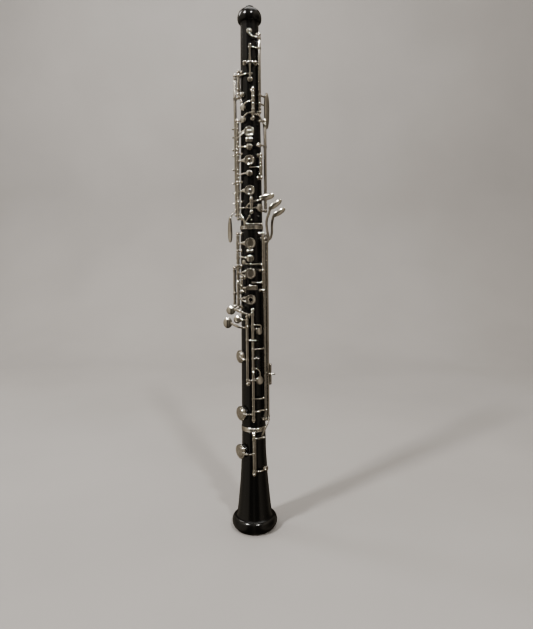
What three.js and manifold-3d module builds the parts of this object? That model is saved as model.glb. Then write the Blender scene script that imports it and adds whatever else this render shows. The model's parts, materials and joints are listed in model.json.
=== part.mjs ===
// Conservatoire-system oboe with full keywork, in millimetres.
// Frame: +Z runs up the bore and z = 0 is the flat rim the bell stands on. -Y is the front, the
// side the finger plates face, and +X is the side of the left little finger's spatulas.
// Everything is drawn round the bore axis; the last lines centre the group in width and depth.
// Places round the body are polar, [angle, radius, z]: the angle in degrees from the front,
// positive towards +X, the radius from the bore axis.
import * as THREE from "three";
import { mergeVertices } from "three/addons/utils/BufferGeometryUtils.js";
import Module from "manifold-3d";

const wasm = await Module();
wasm.setup();

// ---- driving dimensions ----------------------------------------------------
const LENGTH = 596;           // rim of the bell to the lip of the reed well
const UPPER_SHOULDER = 360.1; // the upper joint rests here
const LOWER_TOP = 360.0;      // top face of the lower joint
const LOWER_SHOULDER = 126.9; // the lower joint rests on the bell here
const BELL_TOP = 126.8;
const TUBE_RADIUS = 1.65;     // hinge tube, outside
const TUBE_BORE = 0.98;       // hinge tube, bore radius
const TUBE_POST_GAP = 2.2;    // tube end to the middle of a post
const TUBE_SPLIT = 0.3;       // gap between two tubes that meet
const ROD_RADIUS = 0.86;
const AXLE_RADIUS = 0.82;     // the rocker's axle
const SEAT_HEIGHT = 0.3;      // tone-hole seat above the wood
const BELL_SEAT_HEIGHT = 0.9; // seat of the large bell hole
const SEAT_DEPTH = 1.6;       // seat below the surface of the wood
const PAD_GAP = 0.08;         // pad to seat when shut
const CUP_ARM_HEIGHT = 2.3;   // where an arm meets a cup, above the pad face
const SHANK_DEPTH = 2.4;      // shank of a post in the wood
const WOOD_SIDES = 20;        // segments of the joints, rings and corks
const LEAF_STEPS = 5;         // segments along each edge of a leaf

// outside of the wood, [radius, z] from the top down
const UPPER_OUTSIDE = [
  [4.5, LENGTH], [4.9, 594.2], [8.2, 592.6], [11.2, 590], [12.9, 586.4], [13.2, 582.6],
  [12.4, 579.6], [10.4, 578.4], [9.9, 575], [12.32, UPPER_SHOULDER],
];
const LOWER_BODY = [[12.6, 355.5], [13.9, LOWER_SHOULDER]];
const LOWER_OUTSIDE = [[11.5, LOWER_TOP], [11.5, 355.6], ...LOWER_BODY];
const BELL_BODY = [
  [13.9, 121], [14.45, 95], [15.4, 82.5], [16.25, 63.7], [17.7, 47.4], [19.1, 32.7], [21.3, 17],
  [24.2, 15.6], [26.4, 12.6], [27.2, 8.6], [26.0, 5], [23.4, 1.6], [22, 0],
];
const BELL_OUTSIDE = [[12.7, BELL_TOP], [12.7, 121.2], ...BELL_BODY];

// grooves round the tenons, and how far each cork stands clear of its groove
const CORK_GROOVES = {
  upper: { radius: 8.2, bottom: 347.4, top: 357.2 },
  lower: { radius: 10.3, bottom: 111.6, top: 124.2 },
};
const CORK_CLEARANCE = { radius: 0.06, end: 0.1 };

// tone holes, each named after the key whose cup stands on it:
// [joint, angle, z, hole radius, seat radius, seat height if not the usual one]
const HOLES = {
  side_octave_key: ["upper", 2, 566, 0.8, 2.2],
  octave_rocker: ["upper", 4, 516.2, 0.8, 2.2],
  trill_lever_key: ["upper", -40, 501.2, 1.2, 2.3],
  upper_trill_key: ["upper", -35, 487.4, 1.5, 2.9],
  lower_trill_key: ["upper", -35, 474.5, 1.5, 2.9],
  b_plate_key: ["upper", 0, 461, 1.9, 4.4],
  c_vent_key: ["upper", 0, 444.8, 1.6, 2.9],
  a_plate_key: ["upper", 0, 430.4, 2.1, 4.4],
  b_flat_vent_key: ["upper", 0, 416.5, 1.7, 2.9],
  g_plate_key: ["upper", 0, 397.8, 2.3, 4.4],
  g_sharp_key: ["upper", 43.5, 379.3, 2.3, 3.6],
  f_sharp_plate_key: ["lower", 0, 339.9, 2.6, 4.9],
  f_sharp_vent_key: ["lower", 0, 323, 2.0, 3.4],
  side_vent_key: ["lower", -33.5, 319.1, 1.3, 2.3],
  e_plate_key: ["lower", 0, 306.5, 2.8, 4.9],
  f_key: ["lower", -100, 291, 2.4, 3.4],
  f_resonance_key: ["lower", -128, 283, 1.8, 2.8],
  d_plate_key: ["lower", 0, 276.9, 3.0, 4.7],
  e_flat_key: ["lower", 31, 240.5, 2.6, 3.4],
  c_key: ["lower", -58, 210.4, 4.4, 6.2],
  c_sharp_key: ["lower", 31, 183.5, 3.0, 4.0],
  b_key: ["lower", -55, 143.5, 5.0, 7.0],
  bell_key: ["bell", -56, 97.7, 4.8, 7.2, BELL_SEAT_HEIGHT],
  bell_key_small: ["bell", 56, 76.4, 1.4, 2.6],
};

// pivot rods: the joint they stand on, their place, the heights of their posts and the heights
// between posts where two hinge tubes meet
const RODS = {
  side_octave_rod: { on: "upper", angle: 54.6, radius: 13.2, posts: [564, 483] },
  thumb_octave_rod: { on: "upper", angle: -63, radius: 13.8, posts: [526, 503] },
  trill_lever_rod: { on: "upper", angle: -77, radius: 17.2, posts: [523, 372] },
  upper_stack_rod: {
    on: "upper", angle: -60, radius: 16.4,
    posts: [474, 439, 408, 386.5, 367.6], splits: [451.45, 421.75, 375.35],
  },
  trill_vent_rod: {
    on: "upper", angle: 15, radius: 15.3, posts: [505.5, 475.3], splits: [490.75],
  },
  link_key_rod: { on: "upper", angle: 46, radius: 16.2, posts: [436.5, 412] },
  left_trill_rod: { on: "upper", angle: 68, radius: 17.6, posts: [474, 376] },
  g_sharp_lever_rod: { on: "upper", angle: 4, radius: 16.4, posts: [389.2, 374.6] },
  lower_stack_rod: {
    on: "lower", angle: -63, radius: 17.3, posts: [351, 331.5, 314.8, 297, 267.5],
  },
  f_resonance_rod: { on: "lower", angle: -84, radius: 20.3, posts: [313, 268] },
  f_key_rod: { on: "lower", angle: -36, radius: 18.1, posts: [301.6, 286.6] },
  right_vent_rod: { on: "lower", angle: 46.6, radius: 18.5, posts: [351, 309.5, 287] },
  b_lever_rod: { on: "lower", angle: 58.6, radius: 16.9, posts: [345, 136] },
  b_flat_lever_rod: { on: "lower", angle: 80.8, radius: 17.5, posts: [349, 134] },
  c_key_rod: {
    on: "lower", angle: -17.5, radius: 17.3, posts: [257.5, 180], splits: [248.25],
  },
  e_flat_b_rod: {
    on: "lower", angle: 4, radius: 17.2, posts: [265, 193.5, 137], splits: [246.45],
  },
  bell_key_rod: { on: "bell", angle: 4, radius: 18.6, posts: [119.5, 72.5], postGap: 2.3 },
};
// crosswise axle of the first-octave rocker, and half the distance between its posts
const ROCKER = { angle: 4, radius: 13.6, z: 533.5, half: 5.7 };

const WOOD = { color: 0x151515, roughness: 0.32, metalness: 0 };
const SILVER = { color: 0xc9c4ba, roughness: 0.22, metalness: 0.95 };
const STEEL = { color: 0xb8b2a8, roughness: 0.3, metalness: 0.9 };
const CORK = { color: 0xb58a5a, roughness: 0.9, metalness: 0 };

// ---- places and directions -------------------------------------------------
const UP = new THREE.Vector3(0, 0, 1);
const radians = (degrees) => (degrees * Math.PI) / 180;
const polar = (angle, radius, z) =>
  new THREE.Vector3(radius * Math.sin(radians(angle)), -radius * Math.cos(radians(angle)), z);
const onAxis = (z) => new THREE.Vector3(0, 0, z);
const outward = (angle) => polar(angle, 1, 0);

// level and square to outward(angle), the way the angle grows
function around(angle) {
  const { x, y } = outward(angle);
  return new THREE.Vector3(-y, x, 0).normalize();
}

// outside radius of the wood at height z, clear of the socket rings
function bodyRadius(z) {
  const line = z > UPPER_SHOULDER ? UPPER_OUTSIDE : z > LOWER_SHOULDER ? LOWER_BODY : BELL_BODY;
  const i = line.findIndex(([, height]) => z >= height);
  const [r1, z1] = line[i - 1];
  const [r0, z0] = line[i];
  return r0 + ((r1 - r0) * (z - z0)) / (z1 - z0);
}
const cupArmRadius = (z) => bodyRadius(z) + SEAT_HEIGHT + PAD_GAP + CUP_ARM_HEIGHT;

// ---- geometry kit ----------------------------------------------------------
// welds a three.js geometry into a manifold with its faces turned outwards
function solid(geometry) {
  const bare = new THREE.BufferGeometry();
  bare.setAttribute("position", geometry.attributes.position);
  bare.setIndex(geometry.index);
  const welded = mergeVertices(bare, 1e-4);
  const positions = welded.attributes.position.array;
  const corners = welded.index.array;
  const corner = (index) => new THREE.Vector3().fromArray(positions, index * 3);
  const triangles = [];
  let volume = 0;
  for (let i = 0; i < corners.length; i += 3) {
    const [a, b, c] = corners.slice(i, i + 3);
    if (a === b || b === c || a === c) continue;
    triangles.push(a, b, c);
    volume += corner(a).dot(corner(b).cross(corner(c)));
  }
  if (volume < 0) {
    for (let i = 0; i < triangles.length; i += 3) {
      [triangles[i + 1], triangles[i + 2]] = [triangles[i + 2], triangles[i + 1]];
    }
  }
  return new wasm.Manifold(new wasm.Mesh({
    numProp: 3,
    vertProperties: new Float32Array(positions),
    triVerts: new Uint32Array(triangles),
  }));
}
const join = (solids) => solids.reduce((whole, next) => whole.add(next));

// a profile of [radius, height] turned about the line from `at` along `direction`
function turned(profile, at, direction, sides) {
  const points = profile.map(([radius, height]) => new THREE.Vector2(radius, height));
  const geometry = new THREE.LatheGeometry(points, sides);
  const axis = direction.clone().normalize();
  const lean = new THREE.Quaternion().setFromUnitVectors(new THREE.Vector3(0, 1, 0), axis);
  geometry.applyQuaternion(lean);
  geometry.translate(at.x, at.y, at.z);
  return solid(geometry);
}
const cylinder = (at, direction, radius, start, end, sides) =>
  turned([[0, start], [radius, start], [radius, end], [0, end]], at, direction, sides);

// a hollow solid turned about the bore axis from a profile that closes on itself
const hollow = (profile) => turned([...profile, profile[0]], onAxis(0), UP, WOOD_SIDES);

// a flat bar swept along [angle, radius, z] points
function bar(points, width, thick, steps) {
  const path = points.map((point) => polar(...point));
  const section = new THREE.Shape([
    new THREE.Vector2(-width / 2, -thick / 2), new THREE.Vector2(width / 2, -thick / 2),
    new THREE.Vector2(width / 2, thick / 2), new THREE.Vector2(-width / 2, thick / 2),
  ]);
  section.closePath();
  return solid(new THREE.ExtrudeGeometry(section, {
    extrudePath: new THREE.CatmullRomCurve3(path, false, "centripetal"),
    steps,
    bevelEnabled: false,
  }));
}

// a flat plate from a closed outline of [u, v], u round the body and v up it; `tilt` turns the
// outline in its own plane and `face` is the angle its flat side looks towards
function plate(outline, [angle, radius, z], thick, { tilt = 0, face = angle } = {}) {
  const shape = new THREE.Shape(outline.map(([u, v]) => new THREE.Vector2(u, v)));
  const geometry = new THREE.ExtrudeGeometry(shape, { depth: thick, bevelEnabled: false });
  geometry.rotateZ(radians(tilt));
  geometry.applyMatrix4(new THREE.Matrix4().makeBasis(around(face), UP, outward(face)));
  const centre = polar(angle, radius, z);
  geometry.translate(centre.x, centre.y, centre.z);
  return solid(geometry);
}

const oval = (halfWidth, halfHeight, sides) => Array.from({ length: sides }, (_, i) => {
  const turn = (2 * Math.PI * i) / sides;
  return [halfWidth * Math.cos(turn), halfHeight * Math.sin(turn)];
});

// a blunt-ended oval, long axis along u
function leaf(length, width) {
  const edge = (side) => Array.from({ length: LEAF_STEPS + 1 }, (_, i) => {
    const t = i / LEAF_STEPS;
    const swell = Math.pow(Math.sin(Math.PI * (0.12 + 0.76 * t)), 0.7);
    return [-length / 2 + length * t, ((side * width) / 2) * swell];
  });
  return [...edge(-1), ...edge(1).reverse()];
}

// a leaf that is wider at its -u end
const blade = (length, width) =>
  leaf(length, width).map(([u, v]) => [u, v * (0.8 - (0.5 * u) / length)]);

// ---- key and rod parts -----------------------------------------------------
// a padded cup standing shut on the seat of the named tone hole; `vent` is the radius of a hole
// through the cup
function padCup(holeName, radius, { vent = 0, sides = 12 } = {}) {
  const [, angle, z, , , seatHeight = SEAT_HEIGHT] = HOLES[holeName];
  const at = polar(angle, bodyRadius(z) + seatHeight + PAD_GAP, z);
  const profile = [
    [0, 0], [radius - 0.45, 0], [radius - 0.35, 1.2], [radius, 1.4], [radius, 2.9], [0, 3.6],
  ];
  const cup = turned(profile, at, outward(angle), sides);
  return vent ? cup.subtract(cylinder(at, outward(angle), vent, -1, 5, 6)) : cup;
}

// a ball-headed post that carries a rod
function post(angle, radius, z) {
  const surface = bodyRadius(z);
  return turned([
    [0, surface - SHANK_DEPTH], [0.95, surface - SHANK_DEPTH], [0.95, surface + 0.12],
    [1.6, surface + 0.12], [1.1, surface + 1.1], [1.1, radius - 1.8], [1.95, radius - 0.6],
    [1.7, radius + 1.1], [0, radius + 1.9],
  ], onAxis(z), outward(angle), 6);
}

function shankHole(angle, z) {
  const surface = bodyRadius(z);
  return cylinder(onAxis(z), outward(angle), 1.15, surface - SHANK_DEPTH - 0.2, surface + 2, 6);
}

const pivotRod = ({ angle, radius, posts }) => join([
  cylinder(polar(angle, radius, 0), UP, ROD_RADIUS, Math.min(...posts), Math.max(...posts), 8),
  ...posts.map((z) => post(angle, radius, z)),
]);

// top and bottom of a rod's hinge tube, counted from 0 at the top of the rod
function tubeEnds({ posts, splits = [], postGap = TUBE_POST_GAP }, index) {
  const stops = [
    ...posts.map((z) => ({ z, gap: postGap })),
    ...splits.map((z) => ({ z, gap: TUBE_SPLIT / 2 })),
  ].sort((one, other) => other.z - one.z);
  const [above, below] = stops.slice(index, index + 2);
  return [above.z - above.gap, below.z + below.gap];
}

// turns a solid about a rod, in degrees about +Z
function swing(piece, rod, degrees) {
  const { x, y } = polar(rod.angle, rod.radius, 0);
  return piece.translate([-x, -y, 0]).rotate([0, 0, degrees]).translate([x, y, 0]);
}

// ---- keys ------------------------------------------------------------------
// tube:  which hinge tube of the rod the key has, 0 (the top one) unless given
// open:  degrees about +Z it stands open at rest, 0 unless given; parts() are drawn shut
// parts: pieces beside the tube; cup(radius, options) stands on the key's own tone hole, and
//        arm(z, points, width, thick, steps) starts on the rod at z, a point without a height
//        keeping that z
// rest:  further pieces, drawn where they stand when the key is at rest
const KEYS = {
  side_octave_key: { rod: "side_octave_rod", parts: (arm, cup) => [
    cup(3.0),
    arm(560, [[34, 13.6], [14, 13.4, 560.5], [2, 13.0, 563.5], [2, 12.7, 566]], 2, 1.3, 6),
    arm(549.8, [[36, 12.3], [16, 11.7], [-4, 11.7]], 1.8, 1.1, 4),
    ...[500.5, 491.5].map((z) => arm(z, [[68, 14.4], [80, 15.6], [88, 17.2]], 2, 1.3, 4)),
    plate(leaf(39, 7.6), [90, 17.6, 486], 1.5, { tilt: 90, face: 42 }),
  ] },
  thumb_octave_key: { rod: "thumb_octave_rod", parts: (arm) => [
    arm(521.8, [[-42, 12.6, 522], [-20, 11.9, 522.3], [4, 12.0, 522.3], [14, 12.1, 522.3]],
      2, 1.2, 6),
    arm(507, [[-90, 13.6, 505], [-120, 13.4, 501], [-150, 13.8, 496], [-172, 14.2, 489]],
      2.4, 1.3, 7),
    plate(oval(4.6, 10.5, 12), [180, 13.6, 483], 1.5),
  ] },
  trill_lever_key: { rod: "trill_lever_rod", parts: (arm, cup) => [
    arm(498.2, [[-68, 14.9], [-57, 12.6, 497.8], [-50, 12.3, 495.8], [-46, 12.2, 492.6]],
      2, 1.1, 6),
    cup(3.0),
    arm(498.9, [[-66, 15.4], [-54, 14.6, 499.0], [-41, 14.2, 500.4]], 1.7, 1.1, 5),
    arm(376.5, [[-80, 21.0, 374.2], [-80, 24.6, 368]], 2.4, 1.4, 3),
    plate(blade(29, 7), [-80, 24.2, 355.8], 1.6, { tilt: 90, face: -28 }),
  ] },
  upper_trill_key: { rod: "trill_vent_rod", parts: (arm, cup) => [
    cup(3.6),
    arm(493, [[-4, 15.2, 492.5], [-20, 14.6, 490.5], [-35, 13.9, 487.4]], 2, 1.3, 5),
    bar([[-35, 13.9, 487.4], [-40, 13.95, 490.6], [-43.5, 14.05, 493.2]], 2, 1.1, 2),
  ] },
  lower_trill_key: { rod: "trill_vent_rod", tube: 1, parts: (arm, cup) => [
    cup(3.6),
    arm(480.5, [[-4, 15.2, 480.3], [-20, 14.6, 478], [-35, 13.9, 474.5]], 2, 1.3, 5),
    arm(479.2, [[26, 14.5], [35, 14.1]], 2.2, 1.2, 2),
  ] },
  left_trill_key: { rod: "left_trill_rod", parts: (arm) => [
    arm(468.6, [[56, 17.4, 470.2], [44, 16.6, 476.4], [33, 16.0, 479.4]], 2.2, 1.2, 5),
    arm(446, [[54, 19.4], [40, 18.9]], 2, 1.3, 3),
    plate(oval(3.6, 2.3, 10), [33, 17.9, 446], 1.4),
  ] },
  b_plate_key: { rod: "upper_stack_rod", open: -5.5, parts: (arm, cup) => [
    cup(5.7, { vent: 1.2, sides: 16 }),
    arm(460.5, [[-44, 15.3, 460.7], [-28, 14.4, 461], [-12, 14.0, 461]], 3, 1.4, 5),
    arm(454.5, [[-46, 16.9, 455.5], [-34, 15.6, 457.5], [-24, 14.4, 460]], 2.2, 1.3, 5),
    plate([
      [-4.1, -2.6], [-2.8, -3.3], [2.8, -3.3], [4.1, -2.6],
      [4.1, 2.4], [2.6, 3.6], [-2.6, 3.6], [-4.1, 2.4],
    ], [0, cupArmRadius(452.3) - 0.2, 452.9], 1.6),
  ] },
  c_vent_key: { rod: "upper_stack_rod", tube: 1, open: -6, parts: (arm, cup) => [
    cup(3.6),
    arm(445.3, [[-44, 15.3], [-26, 14.3, 445], [-8, 13.9, 444.8]], 2, 1.3, 5),
  ] },
  a_plate_key: { rod: "upper_stack_rod", tube: 2, open: -5.5, parts: (arm, cup) => [
    cup(5.7, { vent: 1.2, sides: 16 }),
    arm(430, [[-44, 15.5, 430.2], [-28, 14.7, 430.4], [-12, 14.3, 430.4]], 3, 1.4, 5),
  ] },
  b_flat_vent_key: { rod: "upper_stack_rod", tube: 3, open: -6, parts: (arm, cup) => [
    cup(3.6),
    arm(415.6, [[-44, 15.4], [-26, 14.5, 416.2], [-8, 14.2, 416.5]], 2, 1.3, 5),
  ] },
  g_plate_key: { rod: "upper_stack_rod", tube: 4, open: -5.5, parts: (arm, cup) => [
    cup(5.7, { vent: 1.2, sides: 16 }),
    arm(396.8, [[-44, 15.6, 397.2], [-28, 14.9, 397.8], [-12, 14.6, 397.8]], 3, 1.4, 5),
  ] },
  g_sharp_key: { rod: "upper_stack_rod", tube: 5, parts: (arm, cup) => [
    cup(4.5),
    arm(379, [
      [-46, 16.6], [-32, 16.4], [-20, 15.6], [-9, 13.7], [4, 13.2], [20, 13.5], [34, 14.6, 379.2],
    ], 1.9, 1.2, 12),
  ] },
  bridge_key: { rod: "upper_stack_rod", tube: 6, parts: (arm) => [
    arm(372.4, [[-46, 17.2, 371.8], [-34, 17.0, 369.5], [-26, 16.4, 364], [-24, 16.2, 357.4]],
      2.2, 1.3, 7),
    bar([
      [-27, 16.5, 365.2], [-21, 16.2, 361.7], [-8, 15.6, 361.4],
      [10, 15.2, 361.4], [32, 15.2, 361.4], [54, 15.6, 361.4],
    ], 1.9, 1.2, 10),
  ] },
  g_sharp_lever: { rod: "g_sharp_lever_rod", parts: (arm) => [
    arm(383.6, [[-8, 14.6, 383.2], [-17, 13.5, 381], [-22, 13.5, 378.6]], 2, 1.1, 5),
    arm(385.3, [[18, 18.0, 386.0], [34, 18.7, 387.4], [50, 18.8, 389.8]], 2.3, 1.4, 5),
    plate(leaf(18, 8), [58.3, 20.6, 391], 1.5, { tilt: 14, face: 18 }),
  ] },
  link_key: { rod: "link_key_rod", parts: (arm) => [
    arm(423.2, [[32, 14.4], [16, 13.2], [-4, 13.0]], 1.8, 1.2, 5),
  ] },
  f_sharp_plate_key: { rod: "lower_stack_rod", open: -5.5, parts: (arm, cup) => [
    cup(6.2, { sides: 16 }),
    arm(339.6, [[-46, 16.6, 339.8], [-30, 16.0, 339.9], [-12, 15.6, 339.9]], 3, 1.4, 5),
    plate([[-3.6, -2], [-2.4, -3.2], [2.4, -3.2], [3.6, -2], [3.2, 4], [-3.2, 4]],
      [0, cupArmRadius(333) + 0.2, 332.6], 1.4),
  ] },
  f_sharp_vent_key: { rod: "lower_stack_rod", tube: 1, open: -5.5, parts: (arm, cup) => [
    cup(4.2),
    arm(324.6, [[-46, 16.8], [-26, 16.3, 324.4], [-8, 15.8, 323.6]], 2, 1.3, 5),
  ] },
  e_plate_key: { rod: "lower_stack_rod", tube: 2, open: -5.5, parts: (arm, cup) => [
    cup(6.2, { sides: 16 }),
    arm(306, [[-48, 16.8, 306.2], [-34, 16.4, 307.8], [-18, 16.0, 309]], 1.9, 1.3, 5),
    bar([[-48, 16.8, 306.2], [-34, 16.4, 304.8], [-18, 16.0, 303.6]], 1.9, 1.3, 4),
  ] },
  d_plate_key: { rod: "lower_stack_rod", tube: 3, open: -5.5, parts: (arm, cup) => [
    cup(6.0, { vent: 2.0, sides: 16 }),
    arm(277.6, [[-48, 16.9], [-34, 16.5, 278.6], [-18, 16.1, 279.6]], 1.9, 1.3, 5),
    bar([[-48, 16.9, 277.6], [-34, 16.5, 275.8], [-18, 16.1, 274.6]], 1.9, 1.3, 4),
  ] },
  f_key: { rod: "f_key_rod", parts: (arm, cup) => [
    cup(4.0),
    arm(291.5, [[-48, 15.0], [-66, 14.1], [-84, 14.6, 291.2], [-96, 15.8, 291]], 2.2, 1.2, 8),
    arm(290.2, [[-28, 19.3], [-16, 19.4, 290.4]], 2.4, 1.4, 3),
    plate([
      [-7, -1.6], [-4.5, -2.6], [6, -2.6], [7.2, -1.2], [7.2, 1.2], [6, 2.7], [-3.5, 2.5],
    ], [0, 18.6, 290.5], 1.5),
  ] },
  f_resonance_key: { rod: "f_resonance_rod", parts: (arm, cup) => [
    cup(3.4),
    arm(283, [[-98, 19.4], [-112, 17.8], [-124, 16.6]], 2, 1.3, 5),
  ] },
  side_vent_key: { rod: "right_vent_rod", parts: (arm, cup) => [
    cup(3.0),
    arm(316.6, [[30, 17.0], [12, 15.6], [-6, 15.3], [-20, 15.4, 317.2], [-32, 15.6, 318.6]],
      1.9, 1.2, 9),
  ] },
  fork_link_key: { rod: "right_vent_rod", tube: 1, parts: (arm) => [
    arm(296, [[32, 17.4], [18, 16.6], [3, 16.4]], 1.9, 1.2, 5),
  ] },
  e_flat_key: { rod: "e_flat_b_rod", parts: (arm, cup) => [
    cup(4.2),
    arm(248.2, [[18, 18.2], [34, 18.0, 247.4], [36, 17.2, 243.5], [33, 16.2, 241.4]],
      2.0, 1.3, 7),
    arm(260.6, [
      [-9.7, 20.9], [-22, 22.8, 262.0], [-35, 23.8, 264.4], [-47.7, 24.4, 265.8],
      [-55.6, 25.2, 265.4],
    ], 3, 1.6, 8),
    plate(oval(5.3, 4.9, 14), [-61, 27.0, 264.6], 1.5, { face: -16 }),
  ] },
  c_sharp_lever: { rod: "c_key_rod", parts: (arm) => [
    arm(253.8, [[-24.1, 20.0, 254], [-35.6, 21.0, 254.4]], 2.2, 1.4, 3),
    plate(oval(4.7, 4.6, 12), [-47, 21.7, 254.4], 1.5, { face: -16 }),
    arm(250, [[-10, 15.4, 248], [0, 14.3, 244.2], [8, 14.1, 243.2], [15, 14.3, 243.2]],
      1.8, 1.1, 7),
  ] },
  c_sharp_key: { rod: "e_flat_b_rod", tube: 1, parts: (arm, cup) => [
    cup(5.0),
    arm(197.8, [[14, 18.4], [25, 18.6, 195.6], [31, 17.2, 190], [31, 16.2, 184]], 2.2, 1.3, 8),
    arm(243.4, [[10, 17.0], [17, 16.0]], 1.9, 1.2, 3),
    arm(220.6, [[18, 18.6], [34, 18.6], [45, 17.8]], 1.9, 1.2, 4),
    arm(209.8, [[14, 18.3], [24, 18.6]], 1.9, 1.2, 3),
  ] },
  c_key: { rod: "c_key_rod", tube: 1, open: 7, parts: (arm, cup) => [
    cup(7.5, { sides: 16 }),
    arm(208, [[-30, 18.0], [-44, 17.6, 209.4], [-56, 16.6, 210.4]], 2.4, 1.4, 7),
    ...[184.6, 231].map((z) => arm(z, [[-8, 19.9], [2, 20.5], [11, 20.3]], 1.8, 1.2, 4)),
    arm(245.6, [[-26.7, 21.3], [-39.3, 24.0, 246.6], [-51.4, 25.6, 248.8], [-58.1, 27.0, 250.4]],
      2.8, 1.6, 8),
    plate(oval(5.2, 6.2, 14), [-66, 29.3, 250.6], 1.5, { face: -16 }),
  ] },
  b_key: { rod: "e_flat_b_rod", tube: 2, open: 7,
    parts: (arm, cup) => [
      cup(8.5, { sides: 16 }),
      arm(144.5, [[-12, 18.9], [-30, 18.8, 144.2], [-46, 17.6, 143.8]], 2.4, 1.4, 8),
    ],
    rest: (arm) => [
      arm(147.5, [[14, 18.4], [25, 18.9]], 2.0, 1.2, 3),
      arm(162.6, [[16, 18.6], [32, 18.8], [43, 18.2]], 1.9, 1.2, 4),
    ],
  },
  b_lever: { rod: "b_lever_rod", parts: (arm) => [
    arm(147.5, [[46, 15.7], [34, 15.2], [24, 15.4]], 2.0, 1.2, 5),
    arm(340.4, [
      [63, 20.4, 341.4], [66, 21.2, 347], [65.5, 19.7, 355], [65, 19.2, 362],
      [65, 19.8, 367], [66, 22.0, 373], [65.6, 24.0, 378.4],
    ], 2.6, 2.4, 12),
    plate(leaf(18.3, 7), [73.7, 28.0, 382.8], 1.5, { tilt: 36, face: 18 }),
  ] },
  b_flat_lever: { rod: "b_flat_lever_rod", parts: (arm) => [
    arm(138, [[64, 20.0, 134], [46, 21.2, 128.5], [36, 20.4, 121.5], [33, 19.0, 117.2]],
      2.2, 1.4, 8),
    arm(344.4, [
      [84, 20.9, 345.2], [85.3, 23.0, 351], [84.2, 23.4, 361], [73.3, 25.4, 367],
      [68.5, 27.6, 370.8],
    ], 2.6, 2.5, 10),
    plate(leaf(16.6, 6.8), [76.2, 32.2, 374.3], 1.5, { tilt: 33, face: 18 }),
    // a short upright bar on two arms, with a stub pointing outwards
    ...[199.5, 177].map((z) => arm(z, [[86, 20.4]], 2, 1.3, 1)),
    cylinder(polar(87, 20.3, 176), UP, 1.2, 0, 24.5, 6),
    cylinder(polar(87, 20.3, 188.3), outward(88), 1.0, 0, 5.6, 6),
  ] },
  bell_key: { rod: "bell_key_rod", open: 7,
    parts: (arm, cup) => [
      cup(8.6, { sides: 16 }),
      arm(97, [[-12, 19.9], [-30, 19.4, 97.2], [-46, 18.2, 97.5]], 2.4, 1.4, 8),
    ],
    rest: (arm) => [
      arm(115.6, [[16, 20.6, 116.2], [28, 22.0, 116.8], [36, 22.6, 117.2]], 2.8, 1.5, 4),
      arm(76.4, [[18, 19.6], [34, 19.4], [52, 18.4]], 2.0, 1.3, 5),
      padCup("bell_key_small", 3.4),
    ],
  },
};

function buildKey(name, { rod: rodName, tube = 0, open = 0, parts, rest = () => [] }) {
  const rod = RODS[rodName];
  const { angle, radius } = rod;
  const [top, bottom] = tubeEnds(rod, tube);
  const foot = polar(angle, radius, 0);
  const arm = (start, points, ...section) => bar(
    [[angle, radius, start], ...points.map(([a, r, z = start]) => [a, r, z])], ...section);
  const cup = (cupRadius, options) => padCup(name, cupRadius, options);
  const shut = join([
    cylinder(foot, UP, TUBE_RADIUS, top, bottom, 8),
    ...parts(arm, cup),
    ...rest(arm).map((piece) => swing(piece, rod, -open)),
  ]).subtract(cylinder(foot, UP, TUBE_BORE, bottom - 0.5, top + 0.5, 8));
  return open ? swing(shut, rod, open) : shut;
}

// ---- first-octave rocker ---------------------------------------------------
const rockerPostFoot = (side) =>
  around(ROCKER.angle).multiplyScalar(side * ROCKER.half).add(onAxis(ROCKER.z));
const rockerSurface = Math.sqrt(bodyRadius(ROCKER.z) ** 2 - ROCKER.half ** 2);

function rockerAxle() {
  const { angle, radius, z, half } = ROCKER;
  const upright = (side) => turned([
    [0, rockerSurface - SHANK_DEPTH], [0.95, rockerSurface - SHANK_DEPTH],
    [0.95, rockerSurface + 0.6], [1.3, rockerSurface + 1.9], [1.1, radius - 1.6],
    [1.9, radius - 0.7], [1.85, radius + 0.8], [0, radius + 1.8],
  ], rockerPostFoot(side), outward(angle), 6);
  const axle = cylinder(polar(angle, radius, z), around(angle), AXLE_RADIUS, -half, half, 10);
  return join([upright(1), upright(-1), axle]);
}

const rockerShankHole = (side) => cylinder(rockerPostFoot(side), outward(ROCKER.angle), 1.6,
  rockerSurface - SHANK_DEPTH - 0.3, rockerSurface + 3.2, 6);

// a lever on the crosswise axle with the padded cup at its lower end
function octaveRocker() {
  const { angle, radius, z } = ROCKER;
  const along = (r, start, end) =>
    cylinder(polar(angle, radius, z), around(angle), r, start, end, 10);
  const lever = bar([
    [angle, 14.5, 551.6], [angle, 14.1, 541], [angle, 13.9, z], [angle, 13.9, 524],
    [angle, 13.9, 516.6],
  ], 2.2, 1.3, 6);
  return join([along(1.7, -3.2, 3.2), lever, padCup("octave_rocker", 3.0)])
    .subtract(along(TUBE_BORE, -4, 4));
}

// ---- wood, rings, corks and thumb rest -------------------------------------
// each joint runs down its outside, in round its tenon and back up its bore
function woodBlanks() {
  const { upper, lower } = CORK_GROOVES;
  return {
    upper: hollow([
      [3.3, LENGTH], ...UPPER_OUTSIDE, [9.0, UPPER_SHOULDER], [9.0, 357.6],
      [upper.radius, upper.top], [upper.radius, upper.bottom],
      [8.9, 347.2], [8.9, 343.3], [5.4, 343.3], [2.2, 574], [3.3, 574.6],
    ]),
    lower: hollow([
      [9.4, LOWER_TOP], ...LOWER_OUTSIDE, [11.1, LOWER_SHOULDER], [11.1, 124.6],
      [lower.radius, lower.top], [lower.radius, lower.bottom],
      [10.9, 111.4], [10.9, 106.4], [8.1, 106.4], [5.5, 343.0], [9.4, 343.0],
    ]),
    bell: hollow([
      [11.4, BELL_TOP], ...BELL_OUTSIDE, [18.6, 0], [14.6, 22], [11.8, 52], [9.6, 84],
      [8.4, 106.1], [11.4, 106.1],
    ]),
  };
}

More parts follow.
